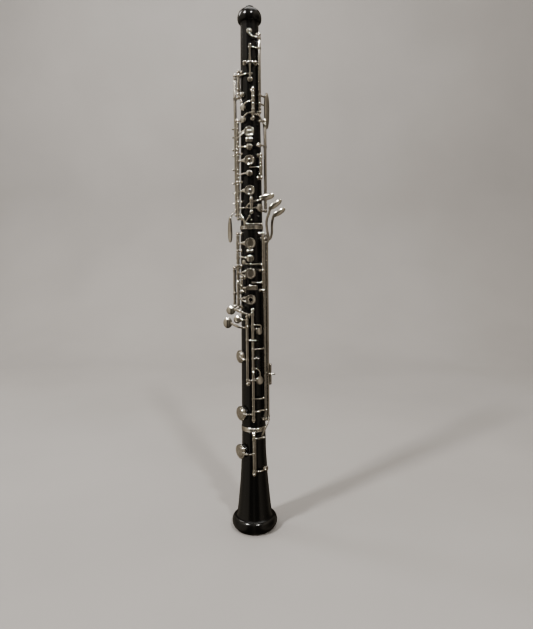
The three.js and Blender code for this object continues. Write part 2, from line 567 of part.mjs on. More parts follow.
// the joints with their raised seats, tone holes and post holes
function woodenJoints() {
  const wood = woodBlanks();
  const holes = Object.values(HOLES);
  for (const [on, angle, z, , seatRadius, seatHeight = SEAT_HEIGHT] of holes) {
    const surface = bodyRadius(z);
    wood[on] = wood[on].add(cylinder(onAxis(z), outward(angle), seatRadius,
      surface - SEAT_DEPTH, surface + seatHeight, 10));
  }
  for (const [on, angle, z, radius] of holes) {
    wood[on] = wood[on].subtract(cylinder(onAxis(z), outward(angle), radius, 1.5, 30, 6));
  }
  for (const { on, angle, posts } of Object.values(RODS)) {
    for (const z of posts) wood[on] = wood[on].subtract(shankHole(angle, z));
  }
  for (const side of [1, -1]) wood.upper = wood.upper.subtract(rockerShankHole(side));
  return wood;
}

// a socket ring with chamfered outer edges
const socketRing = (inner, outer, bottom, top) => hollow([
  [inner, bottom], [outer - 0.3, bottom], [outer, bottom + 0.5],
  [outer, top - 0.5], [outer - 0.3, top], [inner, top],
]);

function tenonCork(groove, outer) {
  const inner = groove.radius + CORK_CLEARANCE.radius;
  const bottom = groove.bottom + CORK_CLEARANCE.end;
  const top = groove.top - CORK_CLEARANCE.end;
  return hollow([[inner, bottom], [outer, bottom], [outer, top], [inner, top]]);
}

// plate, hook and two screw heads in one casting on the back of the lower joint
function thumbRest() {
  const surface = bodyRadius(318);
  const base = plate([
    [-4.5, -12], [4.5, -12], [5, -10], [5, 10], [4.5, 12], [-4.5, 12], [-5, 10], [-5, -10],
  ], [180, surface + 0.1, 318], 2.0);
  const hook = bar([
    [180, surface + 1.4, 322], [180, surface + 6, 321.4], [180, surface + 12, 320.4],
    [180, surface + 17, 322], [180, surface + 19.6, 325.5],
  ], 9, 2.2, 7);
  const heads = [310, 327.4].map((z) =>
    cylinder(polar(180, surface + 1.9, z), outward(180), 1.9, 0, 1.0, 8));
  return join([base, hook, ...heads]);
}

// ---- assembly --------------------------------------------------------------
const group = new THREE.Group();

function add(name, piece, look) {
  const { vertProperties, triVerts } = piece.getMesh();
  const geometry = new THREE.BufferGeometry();
  geometry.setAttribute("position", new THREE.Float32BufferAttribute(vertProperties, 3));
  geometry.setIndex(new THREE.Uint32BufferAttribute(triVerts, 1));
  geometry.computeVertexNormals();
  const mesh = new THREE.Mesh(geometry, new THREE.MeshStandardMaterial(look));
  mesh.name = name;
  group.add(mesh);
}

const { upper, lower, bell } = woodenJoints();
add("upper_joint", upper, WOOD);
add("lower_joint", lower, WOOD);
add("bell", bell, WOOD);
add("lower_joint_socket_ring", socketRing(11.62, 13.25, 355.75, LOWER_TOP - 0.02), SILVER);
add("bell_socket_ring", socketRing(12.85, 14.45, 121.35, BELL_TOP - 0.02), SILVER);
add("upper_tenon_cork", tenonCork(CORK_GROOVES.upper, 9.25), CORK);
add("lower_tenon_cork", tenonCork(CORK_GROOVES.lower, 11.25), CORK);
add("thumb_rest", thumbRest(), SILVER);
for (const [name, rod] of Object.entries(RODS)) add(name, pivotRod(rod), STEEL);
add("octave_rocker_axle", rockerAxle(), STEEL);
for (const [name, key] of Object.entries(KEYS)) add(name, buildKey(name, key), SILVER);
add("octave_rocker", octaveRocker(), SILVER);

// put the origin in the middle of the width and depth, on the plane of the rim
const box = new THREE.Box3().setFromObject(group);
group.position.set(-(box.min.x + box.max.x) / 2, -(box.min.y + box.max.y) / 2, 0);

export default group;
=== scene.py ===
import json
import math

import bmesh
import bpy
from mathutils import Matrix, Vector

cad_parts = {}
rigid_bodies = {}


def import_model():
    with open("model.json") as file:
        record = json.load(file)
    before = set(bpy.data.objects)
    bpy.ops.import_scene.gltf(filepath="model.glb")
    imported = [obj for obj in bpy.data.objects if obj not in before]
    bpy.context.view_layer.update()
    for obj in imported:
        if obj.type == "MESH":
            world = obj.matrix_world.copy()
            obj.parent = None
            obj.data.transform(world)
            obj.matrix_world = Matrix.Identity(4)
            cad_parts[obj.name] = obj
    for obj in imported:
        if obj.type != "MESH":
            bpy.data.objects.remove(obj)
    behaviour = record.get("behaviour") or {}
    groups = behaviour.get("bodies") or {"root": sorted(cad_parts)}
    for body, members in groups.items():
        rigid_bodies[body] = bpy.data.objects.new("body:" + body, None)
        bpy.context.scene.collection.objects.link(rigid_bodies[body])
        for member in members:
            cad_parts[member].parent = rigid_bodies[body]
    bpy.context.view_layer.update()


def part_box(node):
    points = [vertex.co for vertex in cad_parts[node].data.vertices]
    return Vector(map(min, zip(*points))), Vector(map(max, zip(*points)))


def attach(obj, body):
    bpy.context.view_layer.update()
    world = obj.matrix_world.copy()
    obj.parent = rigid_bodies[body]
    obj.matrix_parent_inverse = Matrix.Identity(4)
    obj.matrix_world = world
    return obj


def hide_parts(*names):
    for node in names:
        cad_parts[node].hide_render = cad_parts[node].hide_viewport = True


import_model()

# Conservatoire-system oboe, standing upright on its bell with the bore along Z.
# Shapes are drawn in millimetres round the bore axis: an angle in degrees from the front
# (-Y), positive towards +X, then a radius from the axis and a height z.
joint_low, joint_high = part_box("upper_joint")
AXIS_X = (joint_low.x + joint_high.x) / 2
AXIS_Y = (joint_low.y + joint_high.y) / 2
TOP = joint_high.z * 1000
MM = 0.001
BODY = "body"
UP = Vector((0, 0, 1))
ORIGIN = Vector((0, 0, 0))

# heights of the shoulders and joint ends
SHOULDER, LOWER_TOP, LOWER_SHOULDER, BELL_TOP = 360.1, 360.0, 126.9, 126.8
# outside of the wood where keys and posts stand: (radius, z), from the top down
OUTSIDE = [(9.9, 575), (12.32, SHOULDER), (12.6, 355.5), (13.9, LOWER_SHOULDER),
           (13.9, 121), (14.45, 95), (15.4, 82.5), (16.25, 63.7)]
SEAT_UP = 0.3          # tone-hole seat above the wood
BELL_SEAT_UP = 0.9     # the same for the large bell hole
PAD_GAP = 0.08         # air between seat and shut pad
CUP_MID = 2.3          # height in a cup that the extra finger touches are set from
TUBE_R, TUBE_BORE, ROD_R = 1.65, 0.98, 0.86


def body_r(z):
    """Radius of the wood at height z."""
    for (r_high, z_high), (r_low, z_low) in zip(OUTSIDE, OUTSIDE[1:]):
        if z_low <= z <= z_high:
            return r_low + (r_high - r_low) * (z - z_low) / (z_high - z_low)


def cup_mid(z):
    return body_r(z) + SEAT_UP + PAD_GAP + CUP_MID


def rad(degrees):
    return degrees * math.pi / 180


def place(angle, radius, z):
    return Vector((radius * math.sin(rad(angle)), -radius * math.cos(rad(angle)), z))


def out(angle):
    """Unit vector away from the bore."""
    return place(angle, 1, 0)


def sideways(outward):
    """Unit vector round the body, towards growing angles."""
    return Vector((-outward.y, outward.x, 0)).normalized()


def signed_power(value, power):
    return math.copysign(abs(value) ** power, value)


# ---------------------------------------------------------------- solids
class Solid:
    """Closed shells of one piece, in millimetres."""

    def __init__(self):
        self.verts, self.faces = [], []

    def add(self, verts, faces):
        """Adds a shell with its faces turned outwards."""
        volume = 0.0
        for face in faces:
            first = verts[face[0]]
            for i in range(1, len(face) - 1):
                volume += first.dot(verts[face[i]].cross(verts[face[i + 1]]))
        if volume < 0:
            faces = [tuple(reversed(face)) for face in faces]
        self.append(verts, faces)
        return self

    def append(self, verts, faces):
        base = len(self.verts)
        self.verts += verts
        self.faces += [tuple(i + base for i in face) for face in faces]


def fillet(points, radius, steps, closed=False):
    """Rounds the corners of a polyline of (radius, height)."""
    line, count = [], len(points)
    for i, point in enumerate(points):
        if not closed and i in (0, count - 1):
            line.append(tuple(point))
            continue
        corner = Vector(point)
        before = Vector(points[i - 1]) - corner
        after = Vector(points[(i + 1) % count]) - corner
        before_length, after_length = before.length, after.length
        if before_length < 1e-6 or after_length < 1e-6:
            continue
        before.normalize()
        after.normalize()
        angle = before.angle(after)
        if angle > rad(176):
            line.append(tuple(point))
            continue
        cut = min(radius / max(math.tan(angle / 2), 0.05), before_length * 0.45,
                  after_length * 0.45)
        start, end = corner + before * cut, corner + after * cut
        for k in range(steps + 1):
            share = k / steps
            spot = start * (1 - share) ** 2 + corner * 2 * share * (1 - share) + end * share ** 2
            line.append((spot.x, spot.y))
    return line


def frame_of(axis):
    axis = axis.normalized()
    across = axis.cross(UP if abs(axis.z) < 0.9 else Vector((1, 0, 0))).normalized()
    return across, axis.cross(across).normalized(), axis


def turned(solid, profile, start, axis, sides, closed=False):
    """Turns a profile of (radius, height) about the line from start along axis.
    An open profile begins and ends on the axis; a closed one never meets it."""
    across, along, axis = frame_of(axis)
    rings, verts, faces = [], [], []
    for radius, height in profile:
        centre = start + axis * height
        if radius < 1e-5:
            rings.append([len(verts)])
            verts.append(centre)
            continue
        rings.append(list(range(len(verts), len(verts) + sides)))
        for k in range(sides):
            turn = 2 * math.pi * k / sides
            verts.append(centre + (across * math.cos(turn) + along * math.sin(turn)) * radius)
    for low, high in zip(rings, rings[1:] + (rings[:1] if closed else [])):
        for k in range(sides):
            after = (k + 1) % sides
            if len(low) == 1:
                faces.append((low[0], high[after], high[k]))
            elif len(high) == 1:
                faces.append((low[k], low[after], high[0]))
            else:
                faces.append((low[k], low[after], high[after], high[k]))
    return solid.add(verts, faces)


def sleeve(solid, start, axis, radii, ends, corner, steps=2):
    """A hollow tube between two heights, with rounded rims."""
    (inner, outer), (low, high) = radii, ends
    profile = [(inner, low), (outer, low), (outer, high), (inner, high)]
    turned(solid, fillet(profile, corner, steps, closed=True), start, axis, 32, closed=True)


def blend(left, right, start, end, now):
    return left * ((end - now) / (end - start)) + right * ((now - start) / (end - start))


def spline(points, per):
    """Centripetal Catmull-Rom curve with `per` steps between neighbouring points."""
    points = [points[0] * 2 - points[1]] + points + [points[-1] * 2 - points[-2]]
    curve = []
    for i in range(1, len(points) - 2):
        four = points[i - 1:i + 3]
        knots = [0.0]
        for left, right in zip(four, four[1:]):
            knots.append(knots[-1] + max((right - left).length, 1e-4) ** 0.5)
        last = i == len(points) - 3
        for k in range(per + (1 if last else 0)):
            now = knots[1] + (knots[2] - knots[1]) * k / per
            lines = [blend(four[j], four[j + 1], knots[j], knots[j + 1], now) for j in range(3)]
            bows = [blend(lines[j], lines[j + 1], knots[j], knots[j + 2], now) for j in range(2)]
            curve.append(blend(bows[0], bows[1], knots[1], knots[2], now))
    return curve


def tangent(points, i):
    return (points[min(i + 1, len(points) - 1)] - points[max(i - 1, 0)]).normalized()


def skin(rows, sides):
    """Faces between successive rings of `sides` vertices."""
    faces = []
    for i in range(rows - 1):
        low, high = i * sides, (i + 1) * sides
        for k in range(sides):
            after = (k + 1) % sides
            faces.append((low + k, low + after, high + after, high + k))
    return faces


def arm(solid, width, thick, points, taper=(1.3, 0.86, 0.9, 1.15), sides=14):
    """A forged key arm: an oval section swept through (angle, radius, z) points, its flat
    side to the wood. taper gives width factors along the length."""
    path = spline([place(*point) for point in points], per=6)
    run = [0.0]
    for left, right in zip(path, path[1:]):
        run.append(run[-1] + (right - left).length)
    stations = []  # (centre, direction, outward normal, half width, half thickness)
    for i, centre in enumerate(path):
        along = tangent(path, i)
        normal = Vector((centre.x, centre.y, 0)).normalized()
        normal = normal - along * normal.dot(along)
        if normal.length < 0.15:  # the arm runs straight out from the bore
            guide = stations[-1][2] if stations else UP
            normal = guide - along * guide.dot(along)
        normal.normalize()
        step = run[i] / run[-1] * (len(taper) - 1)
        j = min(int(step), len(taper) - 2)
        ease = 3 * (step - j) ** 2 - 2 * (step - j) ** 3
        factor = taper[j] + (taper[j + 1] - taper[j]) * ease
        stations.append((centre, along, normal, width * factor / 2, thick / 2))
    rings = []

    def section(centre, along, normal, half_width, half_thick):
        across = along.cross(normal).normalized()
        ring = []
        for k in range(sides):
            turn = 2 * math.pi * k / sides
            rise = math.sin(turn)
            x = signed_power(math.cos(turn), 0.62) * half_width
            y = signed_power(rise, 0.95 if rise > 0 else 0.5) * half_thick
            ring.append(centre + across * x + normal * y)
        rings.append(ring)

    def tip(station, side, shares):
        """Shrinking sections that round off an end; side is -1 at the start, 1 at the end."""
        centre, along, normal, half_width, half_thick = station
        for share in shares:
            swell = math.sqrt(1 - (1 - share) ** 2)
            section(centre + along * half_width * (1 - share) * 0.8 * side, along, normal,
                    half_width * swell, half_thick * (0.6 + 0.4 * swell))

    tip(stations[0], -1, (0.35, 0.75))
    for station in stations:
        section(*station)
    tip(stations[-1], 1, (0.75, 0.35))
    verts = [vert for ring in rings for vert in ring]
    faces = skin(len(rings), sides)
    for base, first in ((0, True), ((len(rings) - 1) * sides, False)):
        centre = len(verts)
        verts.append(sum((verts[base + k] for k in range(sides)), Vector()) / sides)
        for k in range(sides):
            here, after = base + k, base + (k + 1) % sides
            faces.append((after, here, centre) if first else (here, after, centre))
    solid.add(verts, faces)


# Outlines of finger touches: closed curves of (x round the body, y up it).
def dense(outline, per):
    """Smooth closed curve through the points of an outline."""
    count, curve = len(outline), []
    for i in range(count):
        back, here, ahead, beyond = [Vector(outline[(i + k) % count]) for k in (-1, 0, 1, 2)]
        for k in range(per):
            now = k / per
            curve.append(0.5 * ((2 * here) + (ahead - back) * now
                                + (2 * back - 5 * here + 4 * ahead - beyond) * now * now
                                + (3 * here - back - 3 * ahead + beyond) * now ** 3))
    return curve


def circle(count):
    """(cosine, sine) of evenly spaced directions."""
    turns = [2 * math.pi * i / count for i in range(count)]
    return [(math.cos(turn), math.sin(turn)) for turn in turns]


def oval(half_x, half_y):
    return [(half_x * x, half_y * y) for x, y in circle(40)]


def box_oval(half_x, half_y):
    return [(half_x * signed_power(x, 0.72), half_y * signed_power(y, 0.72))
            for x, y in circle(44)]


def leaf(length, width):
    """Spoon shape with its long side along x, a little fuller towards +x."""
    points = []
    for x, y in circle(56):
        x, y = signed_power(x, 0.92), signed_power(y, 0.86)
        points.append((x * length / 2, y * width / 2 * (0.93 + 0.07 * x)))
    return points


def blade(length, width):
    """A leaf that is wider at its foot (towards -x)."""
    return [(x, y * (0.8 - 0.5 * x / length)) for x, y in leaf(length, width)]


def touch(solid, outline, angle, radius, z, thick, tilt, crown, face=None):
    """A finger touch with a rounded edge. Its top rises by crown, or is dished when crown is
    negative. tilt turns the outline in its plane; face is the angle it looks towards."""
    rim = [Vector(point) for point in outline]
    middle = sum(rim, Vector((0, 0))) / len(rim)
    edge = min(0.4, min((point - middle).length for point in rim) * 0.4, thick * 0.48)
    cos_tilt, sin_tilt = math.cos(rad(tilt)), math.sin(rad(tilt))
    outward = out(angle if face is None else face)
    across = sideways(outward)
    base = place(angle, radius, z)
    verts, faces, count = [], [], len(rim)

    def put(point, height):
        x = point.x * cos_tilt - point.y * sin_tilt
        y = point.x * sin_tilt + point.y * cos_tilt
        verts.append(base + across * x + UP * y + outward * height)

    # (inset from the rim, height, share of the way to the middle)
    rows = [(edge, 0.0, 0), (edge * 0.35, edge * 0.2, 0), (0.0, edge * 0.8, 0),
            (0.0, thick - edge, 0), (edge * 0.3, thick - edge * 0.3, 0), (edge, thick, 0)]
    rows += [(edge, thick + crown * rise, share)
             for share, rise in ((0.22, 0.45), (0.5, 0.8), (0.8, 0.97))]
    put(middle, 0.0)
    for inset, height, share in rows:
        for point in rim:
            spoke = point - middle
            length = spoke.length
            factor = max(0.0, (length - inset) / length) if length > 1e-6 else 0
            put(middle + spoke * factor * (1 - share), height)
    put(middle, thick + crown)
    last = len(verts) - 1
    for k in range(count):
        after = (k + 1) % count
        faces.append((0, 1 + after, 1 + k))
        for i in range(len(rows) - 1):
            low = 1 + i * count
            faces.append((low + k, low + after, low + count + after, low + count + k))
        low = 1 + (len(rows) - 1) * count
        faces.append((low + k, low + after, last))
    solid.add(verts, faces)


def cup(metal, pads, angle, z, radius, style="vent", hole=0, seat_up=SEAT_UP):
    """A padded cup standing shut on its seat. Profiles are (radius, height over the seat)."""
    start, axis = place(angle, body_r(z) + seat_up + PAD_GAP, z), out(angle)
    sides = 64 if radius > 5 else 48
    pad_r = radius - 0.5 if radius < 7 else radius - 0.8
    dished = [(radius - 0.35, 0.85), (radius, 0.85), (radius + 0.02, 2.5), (radius - 0.35, 3.05),
              (radius - 1.1, 3.12), (radius - 1.9, 2.82)]
    if hole:  # finger plate with a hole through its middle
        profile = dished + [(hole + 1.3, 2.62), (hole + 0.75, 2.72), (hole + 0.2, 3.0),
                            (hole, 2.7), (hole, 1.6), (radius - 0.36, 1.6)]
        turned(metal, fillet(profile, 0.16, 2, closed=True), start, axis, sides, closed=True)
        profile = [(hole + 0.3, 0.0), (pad_r - 0.25, 0.0), (pad_r, 0.3), (pad_r, 1.55),
                   (hole + 0.3, 1.55)]
        turned(pads, fillet(profile, 0.18, 2, closed=True), start, axis, sides, closed=True)
        return
    if style == "plate":  # finger plate: dished top, raised edge
        profile = [(0, 1.6), (radius - 0.36, 1.6)] + dished + [(radius * 0.45, 2.62), (0, 2.58)]
    elif style == "big":  # deep cup of a low note: flat ring, then a dome
        profile = [(0, 1.6), (radius - 0.5, 1.6), (radius - 0.45, 0.85), (radius, 0.85),
                   (radius + 0.02, 2.1), (radius - 0.25, 2.6), (radius - 0.9, 2.9),
                   (radius - 1.45, 2.55), (radius * 0.72, 2.62), (radius * 0.67, 3.1),
                   (radius * 0.38, 3.4), (radius * 0.30, 3.18), (radius * 0.24, 3.2),
                   (radius * 0.18, 3.5), (0, 3.58)]
    else:
        profile = [(0, 1.6), (radius - 0.36, 1.6), (radius - 0.32, 0.85), (radius, 0.85),
                   (radius, 2.2), (radius - 0.3, 2.75), (radius * 0.7, 3.15),
                   (radius * 0.35, 3.45), (0, 3.55)]
    turned(metal, fillet(profile, 0.22, 3), start, axis, sides)
    profile = [(0, 0.0), (pad_r - 0.3, 0.0), (pad_r, 0.3), (pad_r, 1.55), (0, 1.55)]
    turned(pads, fillet(profile, 0.22, 3), start, axis, sides)


def ball_head(ball_r, height):
    """Profile of the ball on a post, centred just beyond the rod's height."""
    return [(ball_r * math.cos(rad(i)), height + 0.1 + ball_r * math.sin(rad(i)))
            for i in range(-56, 90, 12)] + [(0, height + 0.1 + ball_r)]


def post(solid, angle, radius, z):
    """Ball-headed post on a round foot, screwed into the wood."""
    wood_r = body_r(z)
    profile = [(0, wood_r - 0.6), (2.15, wood_r - 0.6), (2.2, wood_r + 0.35),
               (1.9, wood_r + 0.62), (1.35, wood_r + 0.85), (1.02, wood_r + 1.5),
               (0.92, (wood_r + radius) / 2 - 0.4), (1.02, radius - 2.35),
               (1.35, radius - 1.95), (1.15, radius - 1.7)]
    # a short post has no room for its whole stem
    profile = [point for point in profile if point[1] < radius - 1.6]
    turned(solid, profile + ball_head(1.95, radius), Vector((0, 0, z)), out(angle), 28)


def screw_head(solid, start, axis, radius, height):
    """A low slotted cheese head standing on start, pointing along axis."""
    across, along, axis = frame_of(axis)
    slot, depth = radius * 0.16, height * 0.55  # half width and depth of the slot
    base = [(0, -0.2), (radius, -0.2), (radius, height - depth), (0, height - depth)]
    turned(solid, fillet(base, 0.04, 1), start, axis, 28)
    first, steps = math.asin(slot / radius), 12
    for side in (1, -1):
        turns = [first + (math.pi - 2 * first) * k / steps for k in range(steps + 1)]
        half = [(radius * math.cos(turn), side * radius * math.sin(turn)) for turn in turns]
        verts = [start + across * x + along * y + axis * (height - depth - 0.02)
                 for x, y in half]
        verts += [start + across * x * 0.93 + along * (y * 0.93 if abs(y) > slot * 1.5 else y)
                  + axis * height for x, y in half]
        count = len(half)
        faces = [tuple(range(count)), tuple(range(2 * count - 1, count - 1, -1))]
        faces += skin(2, count)
        solid.add(verts, faces)


def needle(solid, start, end, sag):
    """A spring wire that thins towards its end and bows by sag."""
    path = spline([start, (start + end) / 2 + sag, end], per=5)
    sides, verts = 8, []
    for i, centre in enumerate(path):
        across, along, _ = frame_of(tangent(path, i))
        radius = 0.24 * (1 - 0.5 * i / len(path))
        for k in range(sides):
            turn = 2 * math.pi * k / sides
            verts.append(centre + (across * math.cos(turn) + along * math.sin(turn)) * radius)
    faces = skin(len(path), sides)
    faces.append(tuple(reversed(range(sides))))
    faces.append(tuple(range(len(verts) - sides, len(verts))))
    solid.add(verts, faces)


def bead(solid, angle, radius, z, bead_r):
    ball = [(bead_r * math.sin(rad(i)), -bead_r * math.cos(rad(i))) for i in range(0, 181, 15)]
    turned(solid, ball, place(angle, radius, z), out(angle), 20)


def stick(solid, start, end, radius):
    """A straight round bar between two (angle, radius, z) places."""
    start, end = place(*start), place(*end)
    axis = end - start
    length = axis.length
    profile = [(0, 0), (radius * 0.7, 0), (radius, 0.25), (radius, length - 0.4),
               (radius * 0.75, length), (0, length)]
    turned(solid, fillet(profile, 0.15, 2), start, axis, 24)


# ---------------------------------------------------------------- objects
def add_object(name, data):
    obj = bpy.data.objects.new(name, data)
    bpy.context.scene.collection.objects.link(obj)
    return obj


def mesh_of(name, solid, turn=None):
    mesh = bpy.data.meshes.new(name)
    verts = [(turn @ vert) if turn is not None else vert for vert in solid.verts]
    mesh.from_pydata([(vert.x * MM + AXIS_X, vert.y * MM + AXIS_Y, vert.z * MM)
                      for vert in verts], [], solid.faces)
    return mesh


def shade(mesh, limit, weld=False):
    """Smooth shading, with edges sharper than limit degrees kept crisp."""
    work = bmesh.new()
    work.from_mesh(mesh)
    if weld:
        bmesh.ops.remove_doubles(work, verts=work.verts, dist=2e-6)
    for edge in work.edges:
        edge.smooth = not (len(edge.link_faces) == 2 and edge.calc_face_angle(0) > rad(limit))
    for face in work.faces:
        face.smooth = True
    work.to_mesh(mesh)
    work.free()


def make(name, solid, material, replaces=None, body=BODY, limit=40, turn=None):
    mesh = mesh_of(name, solid, turn)
    mesh.validate()
    mesh.update()
    shade(mesh, limit)
    obj = add_object(name, mesh)
    mesh.materials.append(material)
    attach(obj, body)
    if replaces:
        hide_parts(replaces)
    return obj


# ---------------------------------------------------------------- materials
def new_material(name):
    material = bpy.data.materials.new(name)
    material.use_nodes = True
    tree = material.node_tree
    tree.nodes.clear()
    output = tree.nodes.new("ShaderNodeOutputMaterial")
    shader = tree.nodes.new("ShaderNodeBsdfPrincipled")
    tree.links.new(shader.outputs[0], output.inputs[0])
    return material, tree, shader


def texture(tree, scale, detail, roughness, stretch=(1, 1, 1), offset=(0, 0, 0),
            kind="ShaderNodeTexNoise", output="Fac"):
    """Noise in object space; gives its output socket."""
    coords = tree.nodes.new("ShaderNodeTexCoord")
    mapping = tree.nodes.new("ShaderNodeMapping")
    mapping.inputs["Scale"].default_value = stretch
    mapping.inputs["Location"].default_value = offset
    tree.links.new(coords.outputs["Object"], mapping.inputs[0])
    node = tree.nodes.new(kind)
    node.inputs["Scale"].default_value = scale
    node.inputs["Detail"].default_value = detail
    node.inputs["Roughness"].default_value = roughness
    tree.links.new(mapping.outputs[0], node.inputs["Vector"])
    return node.outputs[output]


def ramp(tree, source, stops):
    """Colour ramp; stops are (position, colour or grey level)."""
    node = tree.nodes.new("ShaderNodeValToRGB")
    elements = node.color_ramp.elements
    while len(elements) < len(stops):
        elements.new(0.5)
    for element, (position, colour) in zip(elements, stops):
        if not isinstance(colour, tuple):
            colour = (colour,) * 3
        element.position = position
        element.color = (*colour, 1)
    tree.links.new(source, node.inputs[0])
    return node.outputs[0]


def bump(tree, shader, *layers):
    """Chained bumps; each layer is (height socket, strength, distance in metres)."""
    last = None
    for source, strength, distance in layers:
        node = tree.nodes.new("ShaderNodeBump")
        node.inputs["Strength"].default_value = strength
        node.inputs["Distance"].default_value = distance
        tree.links.new(source, node.inputs["Height"])
        if last is not None:
            tree.links.new(last.outputs[0], node.inputs["Normal"])
        last = node
    tree.links.new(last.outputs[0], shader.inputs["Normal"])


def mix(tree, factor, first, second, blend_type="MIX"):
    """Mixes two colours; each argument is a socket or a plain value."""
    node = tree.nodes.new("ShaderNodeMix")
    node.data_type = "RGBA"
    node.blend_type = blend_type
    for value, name in ((factor, "Factor"), (first, "A"), (second, "B")):
        if hasattr(value, "is_output"):
            tree.links.new(value, node.inputs[name])
        elif isinstance(value, float):
            node.inputs[name].default_value = value
        else:
            node.inputs[name].default_value = (*value, 1)
    return node.outputs["Result"]


def times(tree, source, factor, operation="MULTIPLY_ADD"):
    node = tree.nodes.new("ShaderNodeMath")
    node.operation = operation
    tree.links.new(source, node.inputs[0])
    node.inputs[1].default_value = factor
    return node


def make_wood():
    material, tree, shader = new_material("blackwood")
    grain = texture(tree, scale=260, detail=6, roughness=0.6, stretch=(1, 1, 0.035))
    fine = texture(tree, scale=1500, detail=3, roughness=0.6, stretch=(1, 1, 0.03),
                   offset=(0.3, 0.1, 0))
    broad = texture(tree, scale=22, detail=3, roughness=0.5, stretch=(1, 1, 0.5))
    streaks = ramp(tree, grain, [(0.30, (0.0016, 0.0018, 0.0021)),
                                 (0.58, (0.0036, 0.0037, 0.0039)),
                                 (0.80, (0.0090, 0.0068, 0.0050))])
    patches = ramp(tree, broad, [(0.35, (0.0020, 0.0024, 0.0028)),
                                 (0.7, (0.0062, 0.0052, 0.0044))])
    tree.links.new(mix(tree, 0.35, streaks, patches), shader.inputs["Base Color"])
    tree.links.new(ramp(tree, fine, [(0.3, 0.15), (0.75, 0.24)]), shader.inputs["Roughness"])
    shader.inputs["IOR"].default_value = 1.5
    shader.inputs["Coat Weight"].default_value = 0.15
    shader.inputs["Coat Roughness"].default_value = 0.10
    bump(tree, shader, (fine, 0.12, 0.00003), (grain, 0.10, 0.00004))
    return material


def make_silver(name, tint=(0.61, 0.592, 0.555), dark=(0.32, 0.282, 0.226),
                rough=(0.07, 0.15), brushed=(1, 1, 1), tarnish=0.55):
    """Polished metal with clouds and specks of tarnish; brushed stretches its scratches."""
    material, tree, shader = new_material(name)
    cloud = texture(tree, scale=95, detail=5, roughness=0.62)
    spots = texture(tree, scale=420, detail=4, roughness=0.7, offset=(0.7, 0.2, 0.4))
    scratches = texture(tree, scale=900, detail=2, roughness=0.5, stretch=brushed)
    clouded = ramp(tree, cloud, [(0.42, 0), (0.72, 1)])
    specked = ramp(tree, spots, [(0.52, 0), (0.74, 1)])
    stain = times(tree, clouded, tarnish)
    specks = times(tree, specked, tarnish * 0.45, "MULTIPLY")
    tree.links.new(specks.outputs[0], stain.inputs[2])
    tree.links.new(mix(tree, stain.outputs[0], tint, dark), shader.inputs["Base Color"])
    polish = ramp(tree, scratches, [(0.3, rough[0]), (0.7, rough[1])])
    dulled = times(tree, stain.outputs[0], 0.14)
    tree.links.new(polish, dulled.inputs[2])
    tree.links.new(dulled.outputs[0], shader.inputs["Roughness"])
    shader.inputs["Metallic"].default_value = 1.0
    bump(tree, shader, (scratches, 0.10, 0.00002), (cloud, 0.12, 0.00012))
    return material


def make_pad():
    material, tree, shader = new_material("fish_skin_pad")
    wrinkles = texture(tree, scale=700, detail=4, roughness=0.6)
    blotches = texture(tree, scale=120, detail=3, roughness=0.5, offset=(0.1, 0.9, 0.2))
    colour = ramp(tree, blotches, [(0.3, (0.60, 0.47, 0.29)), (0.7, (0.78, 0.68, 0.50))])
    tree.links.new(colour, shader.inputs["Base Color"])
    tree.links.new(ramp(tree, wrinkles, [(0.3, 0.42), (0.7, 0.6)]), shader.inputs["Roughness"])
    shader.inputs["Sheen Weight"].default_value = 0.15
    bump(tree, shader, (wrinkles, 0.35, 0.00008))
    return material


def make_cork():
    material, tree, shader = new_material("tenon_cork")
    cells = texture(tree, scale=900, detail=4, roughness=0.6, kind="ShaderNodeTexVoronoi",
                    output="Distance")
    grain = texture(tree, scale=500, detail=5, roughness=0.65)
    colour = ramp(tree, grain, [(0.3, (0.16, 0.085, 0.04)), (0.55, (0.42, 0.27, 0.14)),
                                (0.8, (0.56, 0.40, 0.24))])
    pores = ramp(tree, cells, [(0.05, (0.10, 0.05, 0.025)), (0.35, 1)])
    tree.links.new(mix(tree, 0.5, colour, pores, "MULTIPLY"), shader.inputs["Base Color"])
    shader.inputs["Roughness"].default_value = 0.85
    bump(tree, shader, (cells, 0.5, 0.0002), (grain, 0.4, 0.0001))
    return material


def make_spring():
    material, tree, shader = new_material("blued_steel")
    mottle = texture(tree, scale=600, detail=4, roughness=0.6)
    colour = ramp(tree, mottle, [(0.35, (0.03, 0.035, 0.06)), (0.65, (0.10, 0.09, 0.10))])
    tree.links.new(colour, shader.inputs["Base Color"])
    shader.inputs["Metallic"].default_value = 1.0
    shader.inputs["Roughness"].default_value = 0.3
    bump(tree, shader, (mottle, 0.2, 0.00003))
    return material


WOOD = make_wood()
KEY = make_silver("key_silver")
RING = make_silver("silver_plate", rough=(0.10, 0.2), tarnish=0.45, brushed=(0.3, 0.3, 6))
STEEL = make_silver("steel_pivot", tint=(0.60, 0.575, 0.53), dark=(0.33, 0.28, 0.22),
                    rough=(0.16, 0.32), brushed=(5, 5, 0.15), tarnish=0.4)
POST = make_silver("post_silver", tint=(0.70, 0.67, 0.62), dark=(0.36, 0.30, 0.22), tarnish=0.5)
PAD = make_pad()
CORK = make_cork()
SPRING = make_spring()

# ---------------------------------------------------------------- wood
ROUND = 144  # sides of the joints and their rings

